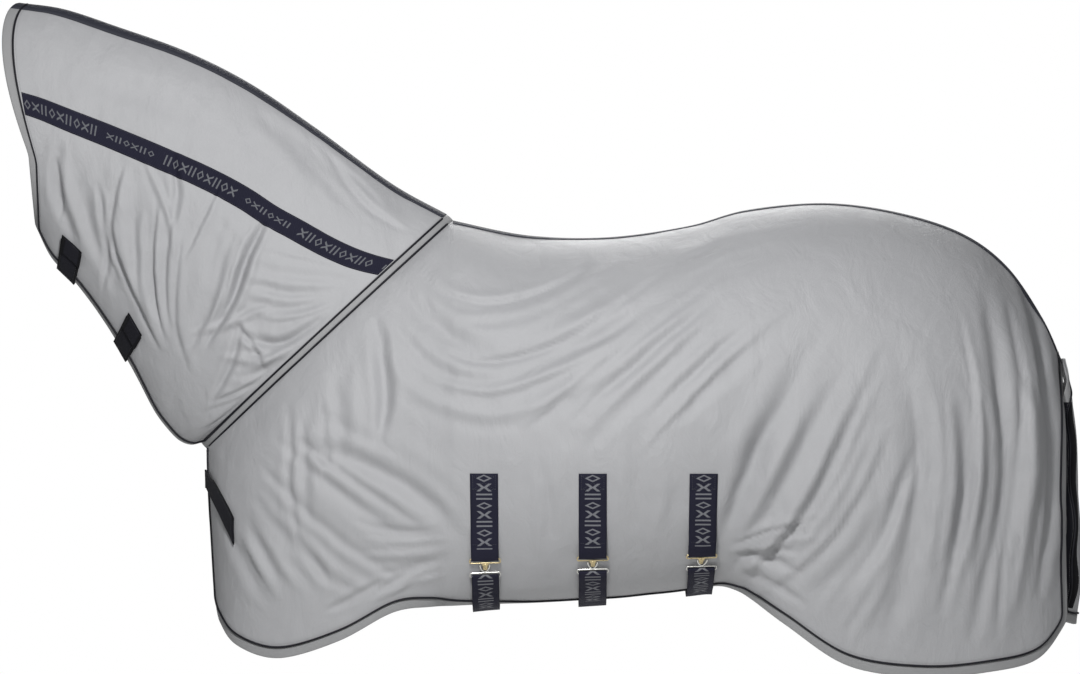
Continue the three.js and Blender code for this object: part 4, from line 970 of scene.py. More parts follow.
def collar_line(share, height, side, shares=slice(None)):
    """A line along the collar, at a share of the way from its neck seam to its body seam."""
    neck, body = (near_neck, near_body) if side == "near" else (off_neck, off_body)
    front = neck.at(1.0, collar_share, height)
    back = body.at(collar_u, 0.0, 0.0) + (front - neck.at(1.0, collar_share, 0.0))
    line = front + (back - front) * share
    return (line * (OFF if side == "off" else np.ones(3)))[shares]


for side in ("near", "off"):
    outer = [collar_line(w, collar_crown(w), side) for w in (0, 0.2, 0.4, 0.6, 0.8, 1)]
    inner = [collar_line(w, COLLAR_UNDER, side) for w in (1, 0.6, 0.2, 0)]
    swept(f"collar_tape_{side}", outer + inner, grey_tape, "cover", [f"collar_strip_{side}"])
    for place, share in COLLAR_PIPINGS:
        loops = [collar_line(share + inset / COLLAR_WIDTH, height, side, INSIDE_ENDS)
                 for inset, height in round_section(0, CORD_HEIGHT, PIPING_RADIUS)]
        swept(f"collar_{place}_cord_{side}", loops, satin_piping, "cover",
              [f"collar_{place}_piping_{side}"])
    sew(f"collar_stitches_{side}",
        [collar_line(share, collar_crown(share) + THREAD_LIFT, side, INSIDE_ENDS) for share in COLLAR_ROWS],
        grey_thread, "cover")


# ---- Woven tape on the neck ----
# Navy polyester tape 50 mm wide with a pale row of figures woven in. It lies flat on the neck cloth
# from the poll to the collar and is sewn down along both edges.
PATTERN_PITCH = 0.020


def patterned_webbing(name, base_dark, base_light, pattern_colour, half_height, plain_from=None,
                      plain_to=None):
    """Webbing with a woven row of small geometric figures along its length (V) and centred across it (U)."""
    material, tree, surface = woven(name, base_dark, base_light, 0.0016, 0.72, 0.04,
                                    twill=0.35, depth=0.6, gloss=0.2)
    link = tree.links.new

    def m(operation, *inputs, clamp=False):
        node = put(tree, "ShaderNodeMath", operation=operation, use_clamp=clamp)
        for k, value in enumerate(inputs):
            if isinstance(value, (int, float)):
                node.inputs[k].default_value = value
            else:
                link(value, node.inputs[k])
        return node.outputs[0]

    uv = put(tree, "ShaderNodeUVMap", uv_map="UVMap")
    split = put(tree, "ShaderNodeSeparateXYZ")
    link(uv.outputs["UV"], split.inputs[0])
    across, length = split.outputs["X"], split.outputs["Y"]
    # One figure to a cell: ten large ones, a gap, six small ones and a gap again.
    cells = m("DIVIDE", length, PATTERN_PITCH)
    index = m("FLOOR", cells)
    a = m("SUBTRACT", m("FRACT", cells), 0.5)
    group = m("FLOORED_MODULO", index, 17.0)
    small = m("GREATER_THAN", group, 9.5)
    gap = m("MAXIMUM", m("COMPARE", group, 9.0, 0.5), m("COMPARE", group, 16.0, 0.5))
    height = m("MULTIPLY", half_height, m("SUBTRACT", 1.0, m("MULTIPLY", small, 0.38)))
    b = m("DIVIDE", across, height)
    kind = m("FLOORED_MODULO", m("MULTIPLY", index, 7.0), 3.0)
    diamond = m("ADD", m("MULTIPLY", m("ABSOLUTE", a), 2.3), m("MULTIPLY", m("ABSOLUTE", b), 0.9))
    ring = m("MULTIPLY", m("LESS_THAN", diamond, 0.92), m("GREATER_THAN", diamond, 0.55))
    zig = m("ABSOLUTE", m("SUBTRACT", m("ABSOLUTE", b), m("ADD", m("MULTIPLY", m("ABSOLUTE", a), 1.5), 0.12)))
    chevron = m("LESS_THAN", zig, 0.22)
    bars = m("LESS_THAN", m("ABSOLUTE", m("SUBTRACT", m("ABSOLUTE", a), 0.24)), 0.09)
    figure = m("ADD", m("MULTIPLY", m("COMPARE", kind, 0.0, 0.4), ring),
               m("ADD", m("MULTIPLY", m("COMPARE", kind, 1.0, 0.4), chevron),
                 m("MULTIPLY", m("COMPARE", kind, 2.0, 0.4), bars)), clamp=True)
    inside = m("MULTIPLY", m("LESS_THAN", m("ABSOLUTE", b), 1.0), m("LESS_THAN", m("ABSOLUTE", a), 0.42))
    figure = m("MULTIPLY", m("MULTIPLY", figure, inside), m("SUBTRACT", 1.0, gap))
    if plain_from is not None:
        figure = m("MULTIPLY", figure, m("SUBTRACT", 1.0, m("MULTIPLY", m("GREATER_THAN", length, plain_from),
                                                             m("LESS_THAN", length, plain_to))))
    threads = put(tree, "ShaderNodeTexNoise", Scale=700.0, Detail=1.0)
    link(uv.outputs["UV"], threads.inputs["Vector"])
    figure = m("MULTIPLY", figure, m("MULTIPLY_ADD", threads.outputs["Fac"], 0.7, 0.45), clamp=True)
    old = surface.inputs["Base Color"].links[0].from_socket
    blend = put(tree, "ShaderNodeMix", data_type="RGBA")
    link(figure, blend.inputs[0])
    link(old, blend.inputs[6])
    blend.inputs[7].default_value = (*pattern_colour, 1)
    link(blend.outputs[2], surface.inputs["Base Color"])
    raised = put(tree, "ShaderNodeBump", Strength=0.5, Distance=0.0005)
    link(figure, raised.inputs["Height"])
    link(surface.inputs["Normal"].links[0].from_socket, raised.inputs["Normal"])
    link(raised.outputs[0], surface.inputs["Normal"])
    return material


NAVY_DARK, NAVY_LIGHT, WOVEN_GREY = (0.007, 0.007, 0.018), (0.019, 0.019, 0.038), (0.24, 0.245, 0.265)
band_webbing = patterned_webbing("navy neck tape", NAVY_DARK, NAVY_LIGHT, (0.17, 0.175, 0.19), 0.011)
BAND_SHARE = (0.45, 0.265)
BAND_HALF = 0.025
BAND_ENDS = (0.034, 0.996)
BAND_UNDER, BAND_TOP, BAND_CROWN = 0.0009, 0.0013, 0.0007
BAND_ROW_ENDS, BAND_ROW_REACH, BAND_ROW_HEIGHT = (0.038, 0.992), 0.0225, 0.00215


def band_centre(lengths, u):
    """The tape's middle line: it dips a little halfway down the neck and once more before the seam."""
    dips = 0.014 * np.exp(-((u - 0.38) / 0.22) ** 2) + 0.004 * np.exp(-((u - 0.71) / 0.05) ** 2)
    return BAND_SHARE[0] + (BAND_SHARE[1] - BAND_SHARE[0]) * u + dips / lengths_at(lengths, u)


def laid_band(name, cloth, lengths, side, node):
    """The tape itself, a little thinner at its two woven edges."""
    u = np.linspace(*BAND_ENDS, 330)
    centre = band_centre(lengths, u)
    turn = OFF if side == "off" else np.ones(3)
    steps = np.linspace(-1, 1, 13)
    edge = np.minimum(1, (1 - np.abs(steps)) * 12 + 0.35)
    outer = [cloth.at(u, centre + BAND_HALF * w / lengths_at(lengths, u), BAND_TOP + BAND_CROWN * e) * turn
             for w, e in zip(steps, edge)]
    inner = [cloth.at(u, centre + BAND_HALF * w / lengths_at(lengths, u), BAND_UNDER) * turn
             for w in steps[::-1]]
    piece = swept(name, outer + inner, band_webbing, "cover", [node])
    centre_uv(piece, len(steps), BAND_HALF)


def centre_uv(piece, steps, half_width):
    """Measures U from the middle of a tape made by swept, the same on both faces."""
    count = len(piece.data.vertices)
    length = count // (2 * steps)
    across = np.linspace(-half_width, half_width, steps)
    across = np.concatenate([across, np.linspace(half_width, -half_width, steps)])
    values = np.repeat(across, length)
    layer = piece.data.uv_layers["UVMap"]
    loops = np.zeros(len(piece.data.loops), int)
    piece.data.loops.foreach_get("vertex_index", loops)
    uv = np.zeros(len(loops) * 2, np.float32)
    layer.data.foreach_get("uv", uv)
    uv = uv.reshape(-1, 2)
    uv[:, 0] = values[loops]
    layer.data.foreach_set("uv", uv.ravel())


for cloth, side in ((near_neck, "near"), (off_neck, "off")):
    laid_band(f"neck_tape_{side}", cloth, neck_lengths, side, f"neck_band_{side}")
    turn = OFF if side == "off" else np.ones(3)
    u = np.linspace(*BAND_ROW_ENDS, 260)
    rows = [cloth.at(u, band_centre(neck_lengths, u) + reach / lengths_at(neck_lengths, u), BAND_ROW_HEIGHT)
            for reach in (-BAND_ROW_REACH, BAND_ROW_REACH)]
    sew(f"neck_tape_stitches_{side}", [row * turn for row in rows], dark_thread, "cover")


# ---- Belly straps ----
# Three straps of 60 mm navy webbing: a tab sewn on the near side with a box stitch and a clasp in
# its folded end, and a long strap that runs under the belly to a root sewn on the off side.
WEB_THICK = 0.0016
LOOP_RADIUS = 0.0035
BAR_HEIGHT = 0.0077
CLASP_LENGTH = 0.042
ROOT_LENGTH = 0.100
CROSS_HEIGHT = 0.0056
SEWN_LENGTH, SEWN_HEIGHT = 0.1, 0.0017
RAMP_LENGTH, RAMP_HEIGHT, EYE_RAMP = 0.066, 0.0036, 0.05
LOOP_LEAD, TAIL_START, TAIL_END = 0.008, 0.003, 0.022  # where webbing meets its loop, and its turned-in tail
ROOT_OVERLAP, ROOT_HEIGHT, ROOT_HALF = 0.015, 0.0024, 0.0014
BELLY_SAG, BELLY_SQUARENESS = 0.008, 0.004
BOX_ACROSS, BOX_DOWN = (0.10, 0.90), (0.005, 0.034)
TAB_ROW_LIFT, ROOT_ROW_LIFT = 0.0003, 0.00165
PLAIN_FROM, PLAIN_TO = 0.166, 0.252  # no figures where the webbing folds through the clasp
tab_webbing = patterned_webbing("navy strap webbing", NAVY_DARK, NAVY_LIGHT, WOVEN_GREY, 0.017,
                                PLAIN_FROM, PLAIN_TO)
strap_steps = np.linspace(0, 1, 11)
plain_cloth = Cloth(plain_body)


def strap_columns(x):
    """Columns across a strap, and the row share where its tab starts on each."""
    line_x = plain_body[:, int(0.75 * (BODY_ROWS - 1)), 0]
    from_column = int(np.argmax(body_stations > SEAM_STATIONS))
    shares = np.linspace(0, 1, BODY_COLUMNS)
    edges = np.interp([x - STRAP_HALF, x + STRAP_HALF], line_x[from_column:], shares[from_column:])
    u = edges[0] + (edges[1] - edges[0]) * strap_steps
    v = np.linspace(0.3, 1, 400)
    tops = np.array([np.interp(TAB_DROP, -plain_cloth.at(c, v)[:, 2], v) for c in u])
    return u, tops


def half_turn(d, h, downwards):
    """Half a circle of a webbing's path round a bar at distance d and height h."""
    turns = np.linspace(0, math.pi, 11)
    turns = math.pi / 2 - turns if downwards else -math.pi / 2 - turns
    return [(d + LOOP_RADIUS * math.cos(a), h + LOOP_RADIUS * math.sin(a)) for a in turns]


def dense(path, step=0.006):
    """The same path with a point at least every step."""
    out = [path[0]]
    for (d0, h0), (d1, h1) in zip(path, path[1:]):
        n = max(1, int(math.ceil(abs(d1 - d0) / step)))
        out += [(d0 + (d1 - d0) * k / n, h0 + (h1 - h0) * k / n) for k in range(1, n + 1)]
    return out


def path_sides(path, half):
    """A path moved by half a thickness to one side of itself."""
    p = np.array(path)
    t = np.gradient(p, axis=0)
    t /= np.maximum(np.linalg.norm(t, axis=1, keepdims=True), 1e-9)
    return p + np.stack([-t[:, 1], t[:, 0]], axis=1) * half


def web_loops(u, tops, cloth, path, half, turn):
    """One face of a strap: its path of distance and height, laid on the cloth below each column's top."""
    d, h = path_sides(path, half).T
    rows = []
    for column, top in zip(u, tops):
        v = top + d / lengths_at(rib_lengths, column)
        rows.append(cloth.at(np.full_like(v, column), v, h) * turn)
    return np.array(rows)


def web_piece(name, outer, inner, material, body, nodes, half_width=STRAP_HALF):
    """A strap closed between its two faces, with its weave measured from the middle."""
    piece = swept(name, np.concatenate([outer, inner[::-1]]), material, body, nodes)
    centre_uv(piece, len(outer), half_width)


def box_rows(with_end_row):
    """Stitch rows as share across and distance down: a box with a cross, and a row at a tab's folded end."""
    (left, right), (top, foot) = BOX_ACROSS, BOX_DOWN
    rows = [((left, top), (right, top), (right, foot), (left, foot), (left, top)),
            ((left, top), (right, foot)), ((right, top), (left, foot))]
    if with_end_row:
        rows.append(((left, TAB_LENGTH - foot), (right, TAB_LENGTH - foot)))
    return rows


def bar_frame(u, tops, d, height, reach):
    """Across, up and out at a bar down the strap's middle, and its place and width."""
    middle, top = u[len(u) // 2], tops[len(u) // 2]
    length = lengths_at(rib_lengths, middle)
    here = near_body.at(middle, top + d / length, height)
    beyond = near_body.at(middle, top + (d + reach) / length, height)
    left = near_body.at(u[0], tops[0] + d / lengths_at(rib_lengths, u[0]), height)
    right = near_body.at(u[-1], tops[-1] + d / lengths_at(rib_lengths, u[-1]), height)
    across = right - left
    width = np.linalg.norm(across)
    across = across / width
    up = (here - beyond) * np.sign(reach)
    up = up - across * (up @ across)
    up = up / np.linalg.norm(up)
    return (left + right) / 2, across, up, np.cross(across, up), width


strap_paths = {}
for number, x in enumerate(STRAPS, 1):
    u, tops = strap_columns(x)
    ramp, loop_top, loop_under = TAB_LENGTH - RAMP_LENGTH, BAR_HEIGHT + LOOP_RADIUS, BAR_HEIGHT - LOOP_RADIUS
    tab_path = dense([(0, SEWN_HEIGHT), (SEWN_LENGTH, SEWN_HEIGHT), (ramp, RAMP_HEIGHT)])
    tab_path += dense([(ramp, RAMP_HEIGHT), (TAB_LENGTH - LOOP_LEAD, loop_top)])[1:]
    tab_path += half_turn(TAB_LENGTH, BAR_HEIGHT, True)
    tab_path += dense([(TAB_LENGTH - TAIL_START, loop_under), (TAB_LENGTH - TAIL_END, loop_under)])
    ones = np.ones(3)
    outer = web_loops(u, tops, near_body, tab_path, WEB_THICK / 2, ones)
    inner = web_loops(u, tops, near_body, tab_path, -WEB_THICK / 2, ones)
    web_piece(f"belly_tab_{number}", outer, inner, tab_webbing, f"tab_{number}",
              [f"surcingle_{number}_tab"])

    eye_bar = TAB_LENGTH + CLASP_LENGTH
    hem = float(np.mean((1 - tops) * lengths_at(rib_lengths, u)))
    near_path = dense([(eye_bar + TAIL_END, loop_under), (eye_bar + TAIL_START, loop_under)])
    near_path += half_turn(eye_bar, BAR_HEIGHT, False)
    near_path += dense([(eye_bar + LOOP_LEAD, loop_top), (eye_bar + EYE_RAMP, CROSS_HEIGHT),
                        (hem, CROSS_HEIGHT)])
    off_path = dense([(hem, CROSS_HEIGHT), (ROOT_LENGTH - ROOT_OVERLAP, CROSS_HEIGHT)])
    sides = []
    for half in (WEB_THICK / 2, -WEB_THICK / 2):
        near_rows = web_loops(u, tops, near_body, near_path, half, ones)
        off_rows = web_loops(u, tops, off_body, off_path, -half, OFF)
        start, end = near_rows[:, -1], off_rows[:, 0]
        share = np.linspace(0, 1, 26)[1:-1]
        under = start[:, None] + (end - start)[:, None] * share[None, :, None]
        bow = np.sin(np.pi * share)
        under[..., 2] -= (BELLY_SAG * bow + BELLY_SQUARENESS * (bow ** 0.4))[None, :]
        sides.append(np.concatenate([near_rows, under, off_rows], axis=1))
    web_piece(f"belly_strap_webbing_{number}", sides[0], sides[1], tab_webbing,
              f"belly_strap_{number}", [f"surcingle_{number}_strap"])
    root_path = dense([(0, ROOT_HEIGHT), (ROOT_LENGTH, ROOT_HEIGHT)])
    outer = web_loops(u, tops, off_body, root_path, ROOT_HALF, OFF)
    inner = web_loops(u, tops, off_body, root_path, -ROOT_HALF, OFF)
    web_piece(f"belly_root_{number}", outer, inner, tab_webbing, "cover",
              [f"surcingle_{number}_root"])
    strap_paths[number] = (u, tops)
    for cloth, turn, path, body, label in ((near_body, ones, tab_path, f"tab_{number}", "tab"),
                                           (off_body, OFF, root_path, "cover", "root")):
        flat_part = [(d, h) for d, h in path[:60] if d < TAB_LENGTH]
        lines = []
        for corners in box_rows(label == "tab"):
            spots = []
            for (a0, d0), (a1, d1) in zip(corners, corners[1:]):
                for share in np.linspace(0, 1, 12)[:-1]:
                    spots.append((a0 + (a1 - a0) * share, d0 + (d1 - d0) * share))
            spots.append(corners[-1])
            across, down = np.array(spots).T
            column = u[0] + (u[-1] - u[0]) * across
            top = np.interp(column, u, tops)
            height = np.interp(down, [d for d, h in flat_part], [h for d, h in flat_part])
            height = height + (ROOT_ROW_LIFT if label == "root" else WEB_THICK / 2 + TAB_ROW_LIFT)
            lines.append(cloth.at(column, top + down / lengths_at(rib_lengths, column), height) * turn)
        sew(f"belly_{label}_stitches_{number}", lines, dark_thread, body)


# ---- Clasps and sliders ----
# A brass-plated hook on the tab and a nickel-plated eye on the strap, each a bent wire frame in
# the webbing's loop with a stamped tongue or a fork soldered on. A wire slider sets the length.
def metal(name, colour, roughness):
    """Plated metal with small wear in its tone and shine."""
    material, tree, surface = node_tools(name)
    place = put(tree, "ShaderNodeTexCoord")
    wear = put(tree, "ShaderNodeTexNoise", Scale=220.0, Detail=4.0)
    tree.links.new(place.outputs["Object"], wear.inputs["Vector"])
    tone = put(tree, "ShaderNodeMix", data_type="RGBA")
    tone.inputs[6].default_value = (*[c * 0.82 for c in colour], 1)
    tone.inputs[7].default_value = (*colour, 1)
    tree.links.new(wear.outputs["Fac"], tone.inputs[0])
    tree.links.new(tone.outputs[2], surface.inputs["Base Color"])
    rough = put(tree, "ShaderNodeMath", operation="MULTIPLY_ADD")
    rough.inputs[1].default_value = 0.2
    rough.inputs[2].default_value = roughness - 0.1
    tree.links.new(wear.outputs["Fac"], rough.inputs[0])
    tree.links.new(rough.outputs[0], surface.inputs["Roughness"])
    scratch = put(tree, "ShaderNodeBump", Strength=0.15, Distance=0.0001)
    tree.links.new(wear.outputs["Fac"], scratch.inputs["Height"])
    tree.links.new(scratch.outputs[0], surface.inputs["Normal"])
    surface.inputs["Metallic"].default_value = 1.0
    return material


brass = metal("brass plate", (0.80, 0.66, 0.38), 0.30)
nickel = metal("nickel plate", (0.86, 0.85, 0.81), 0.24)


def wire(points, radius, closed, sides=10, flat=1.0):
    """Rings of a bent wire along points in a plane: x across, y up, z out; flat squeezes it in z."""
    p = np.asarray(points, float)
    ahead = np.roll(p, -1, axis=0) - np.roll(p, 1, axis=0) if closed else np.gradient(p, axis=0)
    ahead /= np.linalg.norm(ahead, axis=1, keepdims=True)
    out = np.array([0, 0, 1.0])
    side = np.cross(ahead, out)
    side /= np.maximum(np.linalg.norm(side, axis=1, keepdims=True), 1e-9)
    lift = np.cross(side, ahead)
    rings = []
    for a in np.arange(sides) * 2 * math.pi / sides:
        rings.append(p + side * radius * math.cos(a) + lift * radius * flat * math.sin(a))
    rings = np.array(rings)
    count = len(p)
    faces = []
    for k in range(sides):
        n = (k + 1) % sides
        for i in range(count if closed else count - 1):
            j = (i + 1) % count
            faces.append((k * count + i, n * count + i, n * count + j, k * count + j))
    if not closed:
        faces.append(tuple(k * count for k in range(sides)))
        faces.append(tuple(k * count + count - 1 for k in range(sides - 1, -1, -1)))
    return rings.reshape(-1, 3), faces


def rounded_frame(half_x, y0, y1, corner, steps=5):
    """The middle line of a rectangular wire frame with round corners."""
    points = []
    for cx, cy, start in ((half_x - corner, y1 - corner, 0), (-half_x + corner, y1 - corner, 90),
                          (-half_x + corner, y0 + corner, 180), (half_x - corner, y0 + corner, 270)):
        for k in range(steps + 1):
            a = math.radians(start + 90 * k / steps)
            points.append((cx + corner * math.cos(a), cy + corner * math.sin(a), 0))
    return points


def plate(outline, thick, crown):
    """A flat stamped plate with softened edges, from its outline in x and y."""
    o = np.array(outline, float)
    centre = o.mean(axis=0)
    rings = []
    for shrink, z in ((0.0009, -thick / 2), (0.0, -thick / 4), (0.0, thick / 4), (0.0009, thick / 2)):
        inward = centre - o
        inward /= np.linalg.norm(inward, axis=1, keepdims=True)
        rings.append(np.concatenate([o + inward * shrink, np.full((len(o), 1), z)], axis=1))
    points = np.concatenate(rings + [np.array([[centre[0], centre[1], -thick / 2]]),
                                     np.array([[centre[0], centre[1], thick / 2 + crown]])])
    n = len(o)
    faces = [(r * n + k, r * n + (k + 1) % n, (r + 1) * n + (k + 1) % n, (r + 1) * n + k)
             for r in range(3) for k in range(n)]
    faces += [(4 * n, (k + 1) % n, k) for k in range(n)]
    faces += [(4 * n + 1, 3 * n + k, 3 * n + (k + 1) % n) for k in range(n)]
    return points, faces


def joined(name, parts, frame_at):
    """One mesh from several parts, set at a place with its own across, up and out."""
    place, across, up, out = frame_at[:4]
    basis = np.stack([across, up, out])
    points, faces, start = [], [], 0
    for p, f in parts:
        points.append(np.asarray(p) @ basis + place)
        faces += [tuple(k + start for k in face) for face in f]
        start += len(p)
    return outward(make_mesh(name, np.concatenate(points), faces))


FRAME_CLEAR, FRAME_DEEP, FRAME_CORNER, FRAME_WIRE = 0.0030, 0.0095, 0.0028, 0.0016
TONGUE_SIDE = [(-0.0072, -0.009), (-0.0075, -0.015), (-0.0052, -0.0165), (-0.0050, -0.0225),
               (-0.0034, -0.0262)]
TONGUE = TONGUE_SIDE + [(0.0, -0.0276)] + [(-x, y) for x, y in TONGUE_SIDE[::-1]]
TONGUE_RIB = [(0, -0.011, 0.001), (0, -0.0165, 0.0026), (0, -0.0222, 0.0020)]
SLIDER_DROP, SLIDER_REACH, SLIDER_LIFT = 0.121, 0.012, 0.0012
SLIDER_CLEAR, SLIDER_HALF, SLIDER_CORNER, SLIDER_WIRE = 0.003, 0.006, 0.0025, 0.0014
for number, (u, tops) in strap_paths.items():
    top = bar_frame(u, tops, TAB_LENGTH, BAR_HEIGHT, CLASP_LENGTH)
    foot = bar_frame(u, tops, TAB_LENGTH + CLASP_LENGTH, BAR_HEIGHT, -CLASP_LENGTH)
    gap = float(np.linalg.norm(top[0] - foot[0]))
    half = top[4] / 2 + FRAME_CLEAR
    hook_parts = [wire(rounded_frame(half, -FRAME_DEEP, 0.0, FRAME_CORNER), FRAME_WIRE, True)]
    hook_parts.append(plate(TONGUE, 0.0022, 0.0010))
    hook_parts.append(wire(TONGUE_RIB, 0.0015, False, flat=0.8))
    hook = joined(f"clasp_hook_{number}", hook_parts, top)
    finish_piece(hook, brass, f"hook_{number}", [f"surcingle_{number}_hook"])
    eye_half = foot[4] / 2 + FRAME_CLEAR
    eye_parts = [wire(rounded_frame(eye_half, 0.0, FRAME_DEEP, FRAME_CORNER), FRAME_WIRE, True)]
    tip = gap - 0.0135
    prong = [(-0.0102, tip, 0), (-0.0098, tip - 0.006, 0), (-0.0072, tip - 0.012, 0)]
    fork = crom(prong + [(0.0, 0.0112, 0)] + [(-x, y, 0) for x, y, _ in prong[::-1]], 22)
    eye_parts.append(wire(fork, 0.0019, False, flat=0.75))
    eye = joined(f"clasp_eye_{number}", eye_parts, foot)
    finish_piece(eye, nickel, f"belly_strap_{number}", [f"surcingle_{number}_eye"])

    middle = len(u) // 2
    v = tops[middle] + SLIDER_DROP / lengths_at(rib_lengths, u[middle])
    rise = SLIDER_REACH / lengths_at(rib_lengths, u[middle])
    here = off_body.at(u[middle], v, CROSS_HEIGHT) * OFF
    above = off_body.at(u[middle], v - rise, CROSS_HEIGHT) * OFF
    below = off_body.at(u[middle], v + rise, CROSS_HEIGHT) * OFF
    up = (above - below) / np.linalg.norm(above - below)
    left = off_body.at(u[0], tops[0] + SLIDER_DROP / lengths_at(rib_lengths, u[0]), CROSS_HEIGHT) * OFF
    right = off_body.at(u[-1], tops[-1] + SLIDER_DROP / lengths_at(rib_lengths, u[-1]), CROSS_HEIGHT) * OFF
    across = left - right
    width = np.linalg.norm(across)
    across = across - up * (across @ up)
    across /= np.linalg.norm(across)
    out = np.cross(across, up)
    slider_parts = [wire(rounded_frame(width / 2 + SLIDER_CLEAR, -SLIDER_HALF, SLIDER_HALF, SLIDER_CORNER),
                         SLIDER_WIRE, True)]
    bar = [(-width / 2 - SLIDER_CLEAR, 0, 0.0022), (-width / 2 + 0.004, 0, 0.0030),
           (width / 2 - 0.004, 0, 0.0030), (width / 2 + SLIDER_CLEAR, 0, 0.0022)]
    slider_parts.append(wire(bar, SLIDER_WIRE, False))
    slider = joined(f"strap_slider_{number}", slider_parts, (here + out * SLIDER_LIFT, across, up, out))
    finish_piece(slider, nickel, f"belly_strap_{number}", [f"surcingle_{number}_slider"])


# ---- Throat straps ----
# Two black hook-and-loop straps 54 mm wide that close the neck. Each is sewn on the off side, folds
# round the throat edge and presses on a patch on the near side, with its end doubled for pulling.
hook_tape, tape_tree, tape_surface = woven("black hook tape", (0.005, 0.005, 0.008), (0.017, 0.017, 0.025),
                                           0.0019, 0.88, 0.06, depth=0.9, gloss=0.2)
tape_links = tape_tree.links
tape_uv = put(tape_tree, "ShaderNodeUVMap", uv_map="UVMap")
tape_parts = put(tape_tree, "ShaderNodeSeparateXYZ")
from_middle = put(tape_tree, "ShaderNodeMath", operation="ABSOLUTE")
woven_edge = put(tape_tree, "ShaderNodeMapRange", **{"From Min": 0.0185, "From Max": 0.0200})
edged = put(tape_tree, "ShaderNodeMix", data_type="RGBA")
edged.inputs[7].default_value = (0.004, 0.004, 0.006, 1)
tape_links.new(tape_uv.outputs[0], tape_parts.inputs[0])
tape_links.new(tape_parts.outputs["X"], from_middle.inputs[0])
tape_links.new(from_middle.outputs[0], woven_edge.inputs[0])
tape_links.new(woven_edge.outputs[0], edged.inputs[0])
tape_links.new(tape_surface.inputs["Base Color"].links[0].from_socket, edged.inputs[6])
tape_links.new(edged.outputs[2], tape_surface.inputs["Base Color"])
THROAT_CENTRES = {"upper": 0.132, "lower": 0.341}
THROAT_HALF = 0.027
THROAT_REACH = 0.084
FOLD_GAP = 0.0009
FOLD_TAPER = 0.7
HOOK_HALF, HOOK_ROW_LIFT = 0.0011, 0.0013
LAP_RISE, LAP_START, LAP_RUN = 0.0016, 0.07, 0.014
FOLDED_HALF, FOLDED_LENGTH, FOLDED_RISE = 0.0009, 0.026, 0.0026
PATCH_TOP, PATCH_UNDER = 0.0030, 0.0008
SECOND_ROW = 0.058
FOLDED_END = (0.005, 0.006)  # the doubled pull end sits a little aside and past the strap
THROAT_HINGE = {"upper": (-0.8399, 0, -0.1201), "lower": (-0.7218, 0, -0.2832)}
THROAT_FORWARD = {"upper": (-0.696, 0, -0.718), "lower": (-0.866, 0, -0.500)}


def neck_web(cloth, u, distances, height, turn):
    """A strip laid up each rib of the neck from its throat edge."""
    rows = []
    for column in u:
        v = 1 - distances / lengths_at(neck_lengths, column)
        rows.append(cloth.at(np.full_like(v, column), v, height) * turn)
    return np.array(rows)


def lap_height(distances, kind):
    """A strap's height above the cloth: a flap climbs at its end, where it is doubled."""
    return CROSS_HEIGHT + LAP_RISE * np.clip((distances - LAP_START) / LAP_RUN, 0, 1) * (kind == "flap")


def tapered(half, share):
    """Half a strap's thickness, less of it towards the line that it folds along."""
    return half * (1 - FOLD_TAPER * share ** 3)


for label, centre in THROAT_CENTRES.items():
    u = np.linspace(centre - THROAT_HALF, centre + THROAT_HALF, 11) / THROAT_RUN
    for side, cloth, turn, body, kind in (("near", near_neck, np.ones(3), f"throat_flap_{label}", "flap"),
                                          ("off", off_neck, OFF, "cover", "root")):
        distances = np.linspace(THROAT_REACH, 0, 22)
        lift = lap_height(distances, kind)
        layers = []
        for half in (HOOK_HALF, -HOOK_HALF):
            strip = neck_web(cloth, u, distances, lift + half, turn)
            bulge = strip[:, -1].copy()
            wrapped = [strip]
            for share in (0.35, 0.7, 1.0):
                step = bulge.copy()
                step[:, 1] = bulge[:, 1] * (1 - share) - turn[1] * FOLD_GAP
                forward = np.array(THROAT_FORWARD[label])
                gap = np.array(THROAT_HINGE[label]) @ forward - FOLD_GAP - bulge @ forward
                push = gap * math.sin(share * math.pi / 2) + tapered(half, share)
                step += push[:, None] * forward
                wrapped.append(step[:, None])
            layers.append(np.concatenate(wrapped, axis=1))
        web_piece(f"throat_{kind}_{label}", layers[0], layers[1], hook_tape, body,
                  [f"throat_strap_{label}_{kind}"], THROAT_HALF)
        if kind == "flap":
            turned_u = u + FOLDED_END[0] / THROAT_RUN
            turned = np.linspace(THROAT_REACH + FOLDED_END[1], THROAT_REACH - FOLDED_LENGTH, 10)
            rise = np.linspace(LAP_RISE, FOLDED_RISE, 10) + CROSS_HEIGHT + LAP_RISE
            web_piece(f"throat_fold_{label}", neck_web(cloth, turned_u, turned, rise + FOLDED_HALF, turn),
                      neck_web(cloth, turned_u, turned, rise - FOLDED_HALF, turn), hook_tape, body,
                      (), THROAT_HALF)
        down = np.linspace(0.004, THROAT_REACH - 0.003, 24)
        rise = lap_height(down, kind) + HOOK_ROW_LIFT
        edges = neck_web(cloth, u[[1, -2]], down, rise, turn)
        row_u = np.linspace(u[1], u[-2], 12)
        ends_row = neck_web(cloth, row_u, down[-1:], rise[-1:], turn)[:, 0]
        second_row = neck_web(cloth, row_u, np.array([SECOND_ROW]), np.array([CROSS_HEIGHT + HOOK_ROW_LIFT]),
                              turn)[:, 0]
        sew(f"throat_{kind}_stitches_{label}", [edges[0], edges[1], ends_row, second_row], dark_thread, body)
        patch = np.linspace(THROAT_REACH + 0.006, 0.028, 14)
        outer = neck_web(cloth, u, patch, np.full_like(patch, PATCH_TOP), turn)
        inner = neck_web(cloth, u, patch, np.full_like(patch, PATCH_UNDER), turn)
        web_piece(f"throat_patch_{label}_{side}", outer, inner, hook_tape, "cover",
                  [f"throat_strap_{label}_patch_{side}"], THROAT_HALF)


